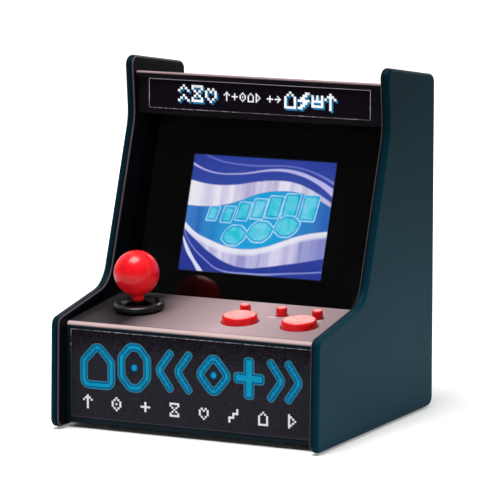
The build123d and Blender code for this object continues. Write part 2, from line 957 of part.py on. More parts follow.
def rear_cover():
    cover = block(
        (-shell_half, shell_half), (rear_inner_y, rear_face_y), (shell_bottom, rear_cover_top)
    )
    cover = chamfer(cover.faces().sort_by(Axis.Y)[-1].edges(), 0.5)
    # battery box, open to the back
    cover += block(
        (-box_outer_half, box_outer_half),
        (box_front_y - 1.4, rear_inner_y),
        (box_floor - box_wall, box_ceiling + box_wall),
    )
    cover += block(
        (-ear_half - 1.5, ear_half + 1.5),
        (rear_inner_y - 7.0, rear_inner_y),
        (box_ceiling, opening_zs[1] + ear_height + 1.2),
    )
    cover -= block(
        (-box_inner_half, box_inner_half), (box_front_y, back_y), (box_floor, box_ceiling)
    )
    # recess for the door and its ear
    cover -= block((-opening_half, opening_half), (door_seat_y, back_y), opening_zs)
    cover -= block(
        (-ear_half, ear_half), (door_seat_y, back_y), (opening_zs[1] - 1, opening_zs[1] + ear_height)
    )
    for x in tab_xs:
        half = tab_width / 2 + 0.4
        cover -= block(
            (x - half, x + half), (slot_front_y, rear_inner_y), (box_floor - 4.5, box_floor + 1)
        )
        cover -= block(
            (x - half, x + half), (slot_front_y, back_y), (opening_zs[0], box_floor + 1)
        )
    door_hole = Plane.XZ.location * Pos(0, door_screw_z, 0)
    cover -= door_hole * post(1.6, -back_y, 5.4 - rear_inner_y)
    # slots for the end contacts' tails
    for side, z in ((-1, cell_zs[0]), (1, cell_zs[-1])):
        low, high = sorted((side * (box_inner_half - 1), side * (box_outer_half + 1)))
        cover -= block((low, high), (cell_y - 1.7, cell_y + 1.7), (z - 0.25, z + 0.25))
    for x, z in rear_screw_spots:
        place = Plane.XZ.location * Pos(x, z, 0)
        cover -= place * post(rear_screw_radius + 0.25, -back_y, -rear_inner_y + 1)
        cover -= place * post(rear_head_radius + 0.4, -back_y, -rear_face_y + 1.1)
    # speaker grille, posts and vents
    speaker = Plane.XZ.location * Pos(0, speaker_height, -rear_inner_y)
    for x, z in grille_holes():
        cover -= speaker * post(0.8, -wall - 1, 1, x, z)
    for x, z in speaker_screw_spots:
        cover += speaker * post(2.0, 0, speaker_flange, x, z)
        cover -= speaker * post(small_screw_radius + screw_clearance, -1.0, 3, x, z)
    cover -= speaker * post(speaker_radius + 0.1, 0, speaker_flange + 1)
    for side in (-1, 1):
        for step in range(5):
            x = side * (22.5 + 2.6 * step)
            cover -= block((x - 0.6, x + 0.6), (rear_inner_y - 1, back_y), (66.0, 80.0))
    return cover


keep("rear_cover", rear_cover())


def rear_screws():
    one = screw(rear_head_radius, rear_head_height, rear_screw_radius, rear_screw_length)
    found = []
    for x, z in rear_screw_spots:
        place = Plane(origin=(x, rear_face_y - 1.1, z), z_dir=(0, 1, 0)).location
        found.append(place * one)
    return Compound(children=found)


keep("rear_screws", rear_screws())


def battery_door():
    gap = door_gap
    door = block(
        (-opening_half + gap, opening_half - gap),
        (door_seat_y, rear_face_y),
        (opening_zs[0] + gap, opening_zs[1] - gap),
    )
    door += block(
        (-ear_half + gap, ear_half - gap),
        (door_seat_y, rear_face_y),
        (opening_zs[1] - 2, opening_zs[1] + ear_height - gap),
    )
    for x in tab_xs:
        half = tab_width / 2
        tab_back = rear_inner_y - gap
        door += block(
            (x - half, x + half),
            (tab_back - tab_thickness, tab_back),
            (opening_zs[0] - tab_length, opening_zs[0] + 2.2),
        )
        door += block(
            (x - half, x + half),
            (tab_back - tab_thickness, door_seat_y + 0.5),
            (opening_zs[0] + gap, opening_zs[0] + 2.2),
        )
    # finger grooves
    for step in range(4):
        z = opening_zs[1] - 6.0 - 2.4 * step
        door -= block((-9, 9), (rear_face_y - 0.5, back_y), (z - 0.6, z + 0.6))
    hole = Plane.XZ.location * Pos(0, door_screw_z, 0)
    door -= hole * post(1.15, -back_y, -door_seat_y + 1)
    door -= hole * post(2.3, -back_y, -rear_face_y + 0.9)
    return door


keep("battery_door", battery_door())
door_screw_place = Plane(origin=(0, rear_face_y - 0.9, door_screw_z), z_dir=(0, 1, 0))
keep("door_screw", door_screw_place.location * screw(2.0, 0.8, 1.0, 5.4))

# ---- cells, contacts and wires -----------------------------------------------------
nub_length = 1.3


def battery_cells():
    found = []
    for index, z in enumerate(cell_zs):
        side = 1 if index % 2 else -1
        body = post(cell_radius, -cell_length / 2, cell_length / 2 - nub_length)
        body = fillet(body.edges(), 0.5)
        body += post(2.7, cell_length / 2 - nub_length, cell_length / 2)
        turned = Pos(side * cell_shift, cell_y, z) * Rot(0, 90 * side, 0)
        found.append(turned * body)
    return Compound(children=found)


# each cell sits against its positive plate, and the spring fills the other end
plate_face = box_inner_half - contact_thickness - 0.05
cell_shift = plate_face - cell_length / 2
spring_reach = 2 * plate_face - cell_length
keep("battery_cells", battery_cells())


def battery_springs():
    wire_radius = 0.35
    height = spring_reach - 2 * wire_radius - 0.1
    coil = Helix(pitch=height / 2.5, height=height, radius=3.4, cone_angle=-10)
    section = Plane(origin=coil @ 0, z_dir=coil % 0) * Circle(wire_radius)
    one = sweep(section, path=coil)
    found = []
    for index, z in enumerate(cell_zs):
        side = -1 if index % 2 else 1
        place = Plane(
            origin=(side * (plate_face - wire_radius - 0.05), cell_y, z), z_dir=(-side, 0, 0)
        )
        found.append(place.location * one)
    return Compound(children=found)


keep("battery_springs", battery_springs())


def battery_contacts():
    """End plates; two of them have tails that carry the wires."""
    found = []
    inner = plate_face
    outer = plate_face + contact_thickness

    def plate(side, z_low, z_high):
        low, high = sorted((side * inner, side * outer))
        return block((low, high), (cell_y - 5.5, cell_y + 5.5), (z_low, z_high))

    pairs = [
        (-1, cell_zs[0] - 5.5, cell_zs[0] + 5.5, cell_zs[0]),
        (1, cell_zs[0] - 5.5, cell_zs[1] + 5.5, None),
        (-1, cell_zs[1] - 5.5, cell_zs[2] + 5.5, None),
        (1, cell_zs[2] - 5.5, cell_zs[2] + 5.5, cell_zs[2]),
    ]
    for side, z_low, z_high, tail_z in pairs:
        one = plate(side, z_low, z_high)
        if tail_z is not None:
            low, high = sorted((side * inner, side * (tail_x + 0.5)))
            one += block((low, high), (cell_y - 1.5, cell_y + 1.5), (tail_z - 0.2, tail_z + 0.2))
        found.append(one)
    return Compound(children=found)


keep("battery_contacts", battery_contacts())
wire_radius = 0.5


def plug_back(x, up):
    """Middle of the back face of a wire plug, and a point straight out of it."""
    face = screen_place * Pos(x, up, board_back - plug_depth)
    out = screen_place * Pos(x, up, board_back - plug_depth - 5.0)
    return tuple(face.position), tuple(out.position)


def battery_wires():
    """The two leads from the battery box up to the main board."""
    found = []
    for side, z, plug in ((-1, cell_zs[0], positive_plug), (1, cell_zs[-1], negative_plug)):
        face, out = plug_back(*plug)
        start = (side * (tail_x - 0.1), cell_y, z + 0.2)
        lift = 0.62 * (out[2] - start[2])
        rise = (start[0], cell_y, start[2] + lift)
        found.append(routed_wire([start, rise, out, face], wire_radius))
    return Compound(children=found)


keep("battery_wires", battery_wires())

# ---- speaker -----------------------------------------------------------------------
speaker_place = Plane.XZ.location * Pos(0, speaker_height, -rear_inner_y)


def speaker_frame():
    flange = post(speaker_radius, 0, speaker_flange)
    basket = Pos(0, 0, speaker_flange + 2.4) * Cone(speaker_radius - 1.6, 7.5, 4.8)
    hollow = Pos(0, 0, speaker_flange + 1.9) * Cone(speaker_radius - 2.4, 6.7, 3.8)
    mouth = post(speaker_radius - 2.4, -1, speaker_flange)
    tag = block((speaker_radius - 3.4, speaker_radius + 0.6), (-3, 3), (1.2, 2.0))
    return speaker_place * (flange + basket - hollow - mouth + tag)


def speaker_cone():
    outer = Pos(0, 0, speaker_flange + 1.1) * Cone(speaker_radius - 3.1, 7.0, 3.0)
    inner = Pos(0, 0, speaker_flange + 0.6) * Cone(speaker_radius - 3.1, 7.0, 3.0)
    cap = Pos(0, 0, speaker_flange + 1.6) * Cylinder(4.2, 0.6)
    return speaker_place * (outer - inner + cap)


keep("speaker_frame", speaker_frame())
keep("speaker_cone", speaker_cone())
keep("speaker_magnet", speaker_place * post(7.4, speaker_flange + 4.8, speaker_depth))


def speaker_screws():
    one = screw(small_head_radius + 0.7, small_head_height, small_screw_radius, 2.0)
    spots = [speaker_place * Pos(x, z, speaker_flange) for x, z in speaker_screw_spots]
    return Compound(children=[spot * one for spot in spots])


keep("speaker_screws", speaker_screws())


def speaker_wires():
    """The two leads from the speaker's tag to its plug."""
    found = []
    for offset in (-1.0, 1.0):
        face, out = plug_back(speaker_plug[0], speaker_plug[1] + offset)
        tag = speaker_place * Pos(speaker_radius + 0.6, 1.2 * offset, 1.6)
        away = speaker_place * Pos(speaker_radius + 5.5, 1.2 * offset, 1.6)
        route = [tuple(tag.position), tuple(away.position), out, face]
        found.append(routed_wire(route, wire_radius - 0.1))
    return Compound(children=found)


keep("speaker_wires", speaker_wires())

# ---- base --------------------------------------------------------------------------
base_half = cheek_half - part_gap
base_ys = (apron_y + toe_length + part_gap, rear_inner_y - part_gap)
foot_spots = [(x, y) for x in (-31.0, 31.0) for y in (base_ys[0] + 8.0, base_ys[1] - 8.0)]
foot_radius = 4.0


def base_plate():
    plate = block((-base_half, base_half), base_ys, (shell_bottom, base_top))
    for x, y in base_screw_spots:
        plate -= post(small_screw_radius + 0.15, 0, base_top + 1, x, y)
        plate -= post(small_head_radius + 0.3, 0, shell_bottom + 0.9, x, y)
    return plate


keep("base_plate", base_plate())
keep("base_screws", small_screws(Pos(0, 0, 0), base_screw_spots, shell_bottom + 0.9, 6.0, -1))
feet = [post(foot_radius, -foot_proud, shell_bottom, x, y) for x, y in foot_spots]
keep("rubber_feet", Compound(children=feet))

# ---- write every sub-part, raised so that the feet stand at height 0 ------------------
for name, shape in parts.items():
    export_step(Pos(0, 0, foot_proud) * shape, f"parts/{name}.step")
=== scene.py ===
"""A toy arcade cabinet for a desk: its finishes, its printed labels and its turned pieces.

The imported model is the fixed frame. Lengths are metres, +Z is up and the player sits
towards -Y. Each operator below makes one piece, or one group of like pieces, round it.
"""

import json
import math
import bmesh
import bpy
from mathutils import Matrix, Vector


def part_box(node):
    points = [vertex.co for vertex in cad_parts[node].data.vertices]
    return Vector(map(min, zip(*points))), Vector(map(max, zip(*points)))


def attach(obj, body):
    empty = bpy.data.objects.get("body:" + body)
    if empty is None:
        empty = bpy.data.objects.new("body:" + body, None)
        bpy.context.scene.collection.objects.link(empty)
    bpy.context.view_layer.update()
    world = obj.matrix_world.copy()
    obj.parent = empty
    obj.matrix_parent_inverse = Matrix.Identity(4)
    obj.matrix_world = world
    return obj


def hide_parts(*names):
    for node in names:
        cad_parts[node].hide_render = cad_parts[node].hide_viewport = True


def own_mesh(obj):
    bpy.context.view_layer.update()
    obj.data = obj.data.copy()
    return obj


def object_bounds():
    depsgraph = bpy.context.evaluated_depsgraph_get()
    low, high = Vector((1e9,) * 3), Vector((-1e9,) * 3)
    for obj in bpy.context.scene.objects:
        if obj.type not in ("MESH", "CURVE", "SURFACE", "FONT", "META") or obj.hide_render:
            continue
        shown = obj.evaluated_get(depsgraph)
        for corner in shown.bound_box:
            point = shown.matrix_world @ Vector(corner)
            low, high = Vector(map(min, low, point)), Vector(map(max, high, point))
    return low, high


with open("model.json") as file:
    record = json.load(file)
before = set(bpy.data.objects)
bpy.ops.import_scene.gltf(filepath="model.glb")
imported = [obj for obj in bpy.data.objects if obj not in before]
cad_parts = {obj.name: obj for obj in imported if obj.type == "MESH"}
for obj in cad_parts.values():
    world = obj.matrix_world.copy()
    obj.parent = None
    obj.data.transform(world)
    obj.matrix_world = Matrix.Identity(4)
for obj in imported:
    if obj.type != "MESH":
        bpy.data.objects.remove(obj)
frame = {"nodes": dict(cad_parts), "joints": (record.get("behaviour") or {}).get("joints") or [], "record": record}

bl_info = {
    "name": "Desk Arcade Cabinet",
    "version": (1, 0, 0),
    "blender": (4, 5, 0),
    "location": "View3D > Sidebar > Cabinet",
    "description": "Finishes, labels and turned pieces of a toy arcade cabinet",
    "category": "Object",
}

MM = 0.001
RIGHT, BACK, UP = (1, 0, 0), (0, 1, 0), (0, 0, 1)
CAD_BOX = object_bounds()

# ---- where the cabinet's faces lie ---------------------------------------------------

JOINTS = {joint["name"]: joint for joint in frame["joints"]}
ALONG_DECK = Vector(JOINTS["stick_left_right"]["axis"])
OUT_OF_DECK = -Vector(JOINTS["button_a_press"]["axis"])
STICK_PIVOT = Vector(JOINTS["stick_left_right"]["pos_m"])
PIVOT_DEPTH = 4.8 * MM
STICK_ALONG = 16.7 * MM  # from the deck's lip, up the slope
SCREEN_LEAN = math.radians(18.5)
SCREEN_FOOT = Vector((0, 3.59, 43.95)) * MM  # middle of the picture's lower edge
PICTURE = (48.96 * MM, 36.72 * MM)


def surface(origin, up, out):
    """A frame on one of the cabinet's faces: X across, Y up the face and Z out of it."""
    turned = Matrix((Vector(RIGHT), up, out)).transposed().to_4x4()
    return Matrix.Translation(origin) @ turned


def upright_face(node):
    """The frame on the front of an upright label, level with the surface below."""
    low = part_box(node)[0]
    return surface(Vector((0, low.y, 0)), Vector(UP), -Vector(BACK))


STICK_FACE = surface(STICK_PIVOT + PIVOT_DEPTH * OUT_OF_DECK, ALONG_DECK, OUT_OF_DECK)
DECK_FACE = STICK_FACE @ Matrix.Translation((-STICK_PIVOT.x, -STICK_ALONG, 0))
SCREEN_FACE = surface(
    SCREEN_FOOT,
    Vector((0, math.sin(SCREEN_LEAN), math.cos(SCREEN_LEAN))),
    Vector((0, -math.cos(SCREEN_LEAN), math.sin(SCREEN_LEAN))),
)
FRONT_LABEL_FACE = upright_face("front_label")
MARQUEE_FACE = upright_face("marquee_label")


# ---- finishes ------------------------------------------------------------------------


def tone(red, green, blue):
    """A display colour from 0 to 255 as the linear colour that a shader takes."""
    linear = []
    for share in (red / 255, green / 255, blue / 255):
        linear.append(share / 12.92 if share <= 0.04045 else ((share + 0.055) / 1.055) ** 2.4)
    return (*linear, 1.0)


def lay(tree, kind, inputs=None, output=0, **settings):
    """Lay down a shader node in a tree and give back one of its outputs."""
    node = tree.nodes.new("ShaderNode" + kind)
    for name, value in settings.items():
        setattr(node, name, value)
    for key, value in (inputs or {}).items():
        if isinstance(value, bpy.types.NodeSocket):
            tree.links.new(value, node.inputs[key])
        else:
            node.inputs[key].default_value = value
    return node.outputs[output]


class Finish:
    """One material, whose nodes are laid down in the order in which they are used."""

    def __init__(self, name, sockets=None):
        self.material = bpy.data.materials.new(name)
        self.material.use_nodes = True
        self.tree = self.material.node_tree
        self.shader = self.tree.nodes["Principled BSDF"]
        self.place = self.add("TexCoord", output="Object")
        for socket, value in (sockets or {}).items():
            self.shader.inputs[socket].default_value = value

    def add(self, kind, inputs=None, output=0, **settings):
        return lay(self.tree, kind, inputs, output, **settings)

    def join(self, socket, value):
        self.tree.links.new(value, self.shader.inputs[socket])

    def math(self, operation, first, second=0.0, clamp=False):
        inputs = {0: first, 1: second}
        return self.add("Math", inputs, operation=operation, use_clamp=clamp)

    def times(self, first, second):
        return self.math("MULTIPLY", first, second)

    def minus(self, first, second):
        return self.math("SUBTRACT", first, second)

    def off(self, value, place=0.0):
        """How far a value lies to either side of a place."""
        return self.math("ABSOLUTE", self.minus(value, place))

    def mixed(self, first, second):
        """Halfway between two values."""
        return self.times(self.math("ADD", first, second), 0.5)

    def scaled(self, size):
        """Object coordinates stretched by a share along each axis."""
        return self.add("Mapping", {"Vector": self.place, "Scale": size})

    def along(self, direction, origin=(0, 0, 0)):
        """How far a point lies from an origin along a direction."""
        moved = self.add("VectorMath", {0: self.place, 1: origin}, operation="SUBTRACT")
        return self.add(
            "VectorMath", {0: moved, 1: direction}, output="Value", operation="DOT_PRODUCT"
        )

    def noise(self, per_metre, detail=2.0, rough=0.5, where=None):
        inputs = {
            "Vector": where or self.place,
            "Scale": per_metre,
            "Detail": detail,
            "Roughness": rough,
        }
        return self.add("TexNoise", inputs, output="Fac")

    def spread(self, value, low, high, start=0.0, end=1.0):
        """A value between start and end as one between low and high."""
        inputs = {"Value": value, 1: start, 2: end, 3: low, 4: high}
        return self.add("MapRange", inputs, clamp=True)

    def ramp(self, share, stops):
        """Colours along a share from 0 to 1, from (place, colour) pairs."""
        output = self.add("ValToRGB", {"Fac": share}, output="Color")
        ends = output.node.color_ramp.elements
        while len(ends) < len(stops):
            ends.new(0.5)
        for end, (place, colour) in zip(ends, stops):
            end.position = place
        for end, (place, colour) in zip(ends, stops):
            end.color = colour
        return output

    def mix(self, share, first, second, blend="MIX"):
        output = self.add(
            "Mix", {0: share, 6: first, 7: second}, output=2, data_type="RGBA"
        )
        output.node.blend_type = blend
        return output

    def graded(self, share, dark, light, low=0.3, high=0.7):
        """A dark colour up to a low share, a light one from a high share on."""
        return self.ramp(share, ((low, dark), (high, light)))

    def dress(self, base, gloss, height=None, depth=0.0):
        """Give the shader its colour, its roughness and a relief that many metres deep."""
        self.join("Base Color", base)
        self.join("Roughness", self.spread(*gloss))
        if height:
            inputs = {"Height": height, "Distance": depth, "Strength": 1.0}
            self.join("Normal", self.add("Bump", inputs))
        return self


def moulded(name, dark, light, grain, gloss, depth, sockets=None):
    """Moulded plastic or rubber: cloudy tone, fine grain and a gloss that varies with it."""
    finish = Finish(name, sockets)
    cloud = finish.noise(45, 3)
    fine = finish.noise(grain, 3, 0.6)
    base = finish.graded(cloud, tone(*dark), tone(*light))
    base = finish.mix(finish.spread(fine, 0, 0.35), base, tone(*dark))
    return finish.dress(base, (fine, *gloss), fine, depth)


def plated(name, dark, light, grain, gloss):
    """Plated or drawn metal with fine lines along one axis."""
    finish = Finish(name, {"Metallic": 1.0})
    lines = finish.noise(grain, 4, 0.65, finish.scaled((1, 1, 14)))
    base = finish.graded(lines, tone(*dark), tone(*light), 0.25, 0.75)
    return finish.dress(base, (lines, *gloss), lines, 4e-6)


# Where painted highlights, painted shade and painted light start and end, in metres along the axis that each is
# measured on.
# Beyond this reach off the middle, the side panels' outer faces carry painted teal light.
PANEL_LIT_SKIN = (42.6 * MM, 44.8 * MM)  # off the middle: within it the panels show their core
# Where the painted highlight along the panels' inner arris lies off the middle.
PANEL_ARRIS_HIGHLIGHT = 42.35 * MM
# Where the painted highlight along the roof's front edge lies, in height and depth.
BROW_HIGHLIGHT_HEIGHT, BROW_HIGHLIGHT_DEPTH = (104.1 * MM, 104.5 * MM), (10.3 * MM, 11.2 * MM)
# Across this span the deck's painted light goes from shade on the left to lit on the right.
DECK_LIGHT_SPAN = (-44 * MM, 40 * MM)
# Where the painted highlights on the deck's front lip and back edge lie.
DECK_LIP_HIGHLIGHT, DECK_BACK_HIGHLIGHT = (-35.9 * MM, -35.4 * MM), (-1.0 * MM, -0.6 * MM)
# Where the painted shade line just behind the lip highlight runs.
DECK_GROOVE_SHADE = -35.15 * MM
# Below this height the deck's front keeps its dark apron tone; above it the deck's painted light begins.
APRON_TOP = (31.55 * MM, 32.15 * MM)


def panel_finish(look):
    """Satin side panels: a cool black core, with painted teal light on their outer faces that lightens a little
    towards the foot, and a painted highlight along their inner arris.
    """
    tint = {"Specular Tint": look.panel_sheen, "Specular IOR Level": 0.04}
    finish = Finish("panel_satin", tint)
    # Painted teal light on the panels' outer faces, lighter towards the foot.
    height = finish.spread(finish.along(UP), 0, 1, 0.02, 0.10)
    drift = finish.noise(26, 3)
    share = finish.mixed(finish.times(drift, 0.7), finish.times(height, 1.3))
    lit_skin = finish.graded(share, look.panel_lit_low, look.panel_lit_high, 0.15, 0.85)
    off_middle = finish.off(finish.along(RIGHT))
    grain = finish.noise(5200, 2, 0.6)
    # The outer faces take the painted teal light; the inner faces and edges keep the cool black core.
    base = finish.mix(finish.spread(off_middle, 0, 1, *PANEL_LIT_SKIN), look.panel_core, lit_skin)
    # Painted highlight along the panels' inner arris.
    arris = finish.spread(finish.off(off_middle, PANEL_ARRIS_HIGHLIGHT), 0.6, 0, 0.05 * MM, 0.25 * MM)
    base = finish.mix(arris, base, look.panel_arris_highlight)
    return finish.dress(base, (finish.mixed(drift, grain), 0.34, 0.46), grain, 5e-6)


def shell_finish(look):
    """Satin black shell, with a painted highlight along the front edge of its roof."""
    finish = Finish("shell_satin", {"Specular IOR Level": 0.07})
    cloud = finish.noise(45, 3)
    fine = finish.noise(3800, 3, 0.6)
    base = finish.graded(cloud, look.shell_dark, look.shell_light)
    # Painted highlight along the roof's front edge, fading off towards the back.
    raised = finish.spread(finish.along(UP), 0, 1, *BROW_HIGHLIGHT_HEIGHT)
    front_highlight = finish.spread(finish.along(BACK), 0.8, 0, *BROW_HIGHLIGHT_DEPTH)
    base = finish.mix(finish.times(raised, front_highlight), base, look.brow_highlight)
    return finish.dress(base, (fine, 0.36, 0.5), fine, 6e-6)


def deck_finish(look):
    """Deck with a fine sparkle and a soft sheen; its tone is painted light, shaded dark on the left and lit warm
    grey towards the right, with painted highlights along its front and back edges and a painted shade line behind
    the front highlight.
    """
    finish = Finish("deck_sparkle", {
        "Sheen Weight": 0.04, "Sheen Roughness": 0.45, "Sheen Tint": look.deck_sheen,
        "Specular IOR Level": 0.05,
    })
    grain = finish.noise(3600, 2, 0.7)
    cloud = finish.noise(34, 3)
    # Painted light across the deck: shaded on the left, lit towards the right.
    light_across = finish.spread(finish.along(RIGHT), -0.03, 0.97, *DECK_LIGHT_SPAN)
    share = finish.math("ADD", light_across, finish.times(cloud, 0.06))
    dark, middle, light = look.deck_shade, look.deck_half_lit, look.deck_lit
    base = finish.ramp(share, ((0.22, dark), (0.36, middle), (0.62, light), (1.0, middle)))
    base = finish.mix(finish.spread(grain, 0, 0.16, 0.56, 0.68), base, look.deck_fleck)
    depth = finish.along(BACK)
    # Painted highlights along the deck's front lip and back edge.
    front_highlight = finish.spread(depth, 0.95, 0, *DECK_LIP_HIGHLIGHT)
    back_edge_highlight = finish.spread(depth, 0, 0.6, *DECK_BACK_HIGHLIGHT)
    base = finish.mix(finish.math("MAXIMUM", front_highlight, back_edge_highlight), base, look.lip)
    # Painted shade: a dark line just behind the lip highlight.
    groove_shade = finish.spread(finish.off(depth, DECK_GROOVE_SHADE), 0.5, 0, 0.05 * MM, 0.3 * MM)
    base = finish.mix(groove_shade, base, dark)
    # Above this height the deck takes its painted light; below it the apron keeps its dark tone.
    base = finish.mix(finish.spread(finish.along(UP), 0, 1, *APRON_TOP), look.apron, base)
    return finish.dress(base, (grain, 0.30, 0.48), grain, 7e-6)


def lens_finish():
    """Clear acrylic window, polished, with the faintest haze of handling."""
    sockets = {"Transmission Weight": 1.0, "IOR": 1.49, "Base Color": (0.97, 0.98, 0.99, 1)}
    finish = Finish("clear_acrylic", sockets)
    haze = finish.noise(70, 4, 0.6)
    finish.join("Roughness", finish.spread(haze, 0.0, 0.02, 0.45, 0.75))
    return finish


def board_finish():
    """Green solder mask, lighter along its copper runs."""
    finish = Finish("solder_mask", {"Coat Weight": 0.4, "Coat Roughness": 0.2})
    cells = {"Vector": finish.place, "Scale": 420.0}
    runs = finish.add("TexVoronoi", cells, output="Distance", distance="MANHATTAN")
    copper = finish.spread(runs, 1, 0, 0.40, 0.46)
    base = finish.mix(copper, tone(10, 74, 38), tone(26, 108, 58))
    return finish.dress(base, (finish.noise(900), 0.3, 0.45), copper, 2e-5)


def cell_finish():
    """Printed wrapper of a plain dry cell: dark, with a lighter belt round the middle."""
    finish = Finish("cell_wrapper", {"Metallic": 0.35, "Coat Weight": 0.5})
    belt = finish.spread(finish.off(finish.along(RIGHT)), 1, 0, 6.0 * MM, 6.2 * MM)
    foil = finish.noise(1500, 3, 0.6, finish.scaled((0.05, 1, 1)))
    dark = finish.graded(foil, tone(40, 42, 48), tone(56, 58, 66))
    return finish.dress(finish.mix(belt, dark, tone(60, 132, 128)), (foil, 0.25, 0.4))


def cone_finish():
    """Pressed paper cone with the rings of its press about the speaker's axis."""
    low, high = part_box("speaker_magnet")
    middle = (low + high) / 2
    finish = Finish("pressed_paper")
    flat = {0: finish.place, 1: (1, 0, 1)}
    across = finish.add("VectorMath", flat, operation="MULTIPLY")
    ends = {0: across, 1: (middle.x, 0, middle.z)}
    far = finish.add("VectorMath", ends, output="Value", operation="DISTANCE")
    rings = finish.math("SINE", finish.times(far, 9000))
    fibre = finish.noise(2600, 4, 0.7)
    base = finish.graded(fibre, tone(30, 29, 30), tone(54, 52, 50))
    return finish.dress(base, (fibre, 0.8, 0.95), finish.math("ADD", rings, fibre), 3e-5)


def cable_finish():
    """Flat cable: pale film with the shadows of its conductors."""
    finish = Finish("flat_cable", {"Coat Weight": 0.3})
    lines = finish.math("SINE", finish.times(finish.along(RIGHT), 2 * math.pi / MM))
    share = finish.spread(lines, 0, 1, -0.4, 0.4)
    base = finish.mix(share, tone(214, 210, 200), tone(164, 160, 152))
    return finish.dress(base, (finish.noise(1200), 0.3, 0.45), share, 3e-5)


def label_finish(look):
    """Printed label stock: charcoal with a speckled dark fade, and darker on the marquee."""
    finish = Finish("label_stock", {"Specular IOR Level": 0.03})
    speckle = finish.noise(1700, 4, 0.75)
    height = finish.along(UP)
    low_fade = finish.spread(height, 0, 0.22, 21.5 * MM, 31.5 * MM)
    fade = finish.math("ADD", low_fade, finish.spread(height, 0, 0.4, 60 * MM, 90 * MM))
    dark = finish.spread(finish.math("ADD", speckle, fade), 0, 1, 0.50, 0.72)
    base = finish.mix(dark, look.label_ground, tone(14, 8, 17))
    return finish.dress(base, (speckle, 0.35, 0.5))


def ink_finish(name, colour, glow=0.0):
    """Printed ink: one colour, mottled by the grain of the label under it, that glows with painted light when
    given a glow.
    """
    finish = Finish(name, {"Specular IOR Level": 0.08, "Emission Strength": glow})
    mottle = finish.noise(1500, 3, 0.6)
    deep, pale = (
        (*(min(1.0, share * change) for share in colour[:3]), 1.0) for change in (0.94, 1.05)
    )
    ink = finish.graded(mottle, deep, pale)
    if glow:
        finish.join("Emission Color", ink)
    return finish.dress(ink, (mottle, 0.4, 0.55))


# Band edges of the lit picture: share of its height at places along its width.
PICTURE_EDGES = {
    "hairline_top": (
        (0, 1.08), (0.12, 0.98), (0.36, 0.93), (0.7, 0.94), (0.83, 0.91), (1, 0.83),
    ),
    "hairline_foot": (
        (0, 1.07), (0.12, 0.97), (0.36, 0.92), (0.7, 0.93), (0.83, 0.9), (1, 0.8),
    ),
    "streak_top": (
        (0, 0.92), (0.15, 0.85), (0.32, 0.85), (0.6, 0.91), (0.74, 0.9), (0.87, 0.85),
        (1, 0.77),
    ),
    "streak_foot": (
        (0, 0.9), (0.15, 0.84), (0.32, 0.84), (0.6, 0.89), (0.74, 0.87), (0.87, 0.81),
        (1, 0.7),
    ),
    "crest_top": (
        (0, 0.77), (0.16, 0.74), (0.31, 0.75), (0.47, 0.79), (0.62, 0.81), (0.73, 0.8),
        (0.85, 0.75), (1, 0.65),
    ),
    "crest_foot": (
        (0, 0.55), (0.14, 0.55), (0.25, 0.57), (0.37, 0.62), (0.5, 0.69), (0.63, 0.72),
        (0.75, 0.72), (0.88, 0.68), (1, 0.61),
    ),
    "river_foot": (
        (0, 0.41), (0.09, 0.32), (0.21, 0.26), (0.32, 0.22), (0.46, 0.21), (0.58, 0.24),
        (0.7, 0.3), (0.82, 0.36), (1, 0.41),
    ),
    "shore_foot": (
        (0, 0.35), (0.09, 0.26), (0.23, 0.14), (0.36, 0.07), (0.48, 0.05), (0.6, 0.07),
        (0.72, 0.1), (0.87, 0.14), (1, 0.18),
    ),
    "ribbon_top": ((0, 0.29), (0.05, 0.19), (0.1, 0.1), (0.17, 0), (0.3, -0.2), (1, -1)),
    "ribbon_foot": ((0, 0.27), (0.04, 0.15), (0.09, 0.07), (0.13, 0), (0.24, -0.2), (1, -1)),
    "thread_top": (
        (0, 0.34), (0.08, 0.2), (0.19, 0.09), (0.27, 0.03), (0.48, 0.01), (0.8, 0.04),
        (1, 0.07),
    ),
    "thread_foot": (
        (0, 0.33), (0.08, 0.19), (0.19, 0.08), (0.27, 0.02), (0.48, -0.01), (0.8, 0.03),
        (1, 0.06),
    ),
}


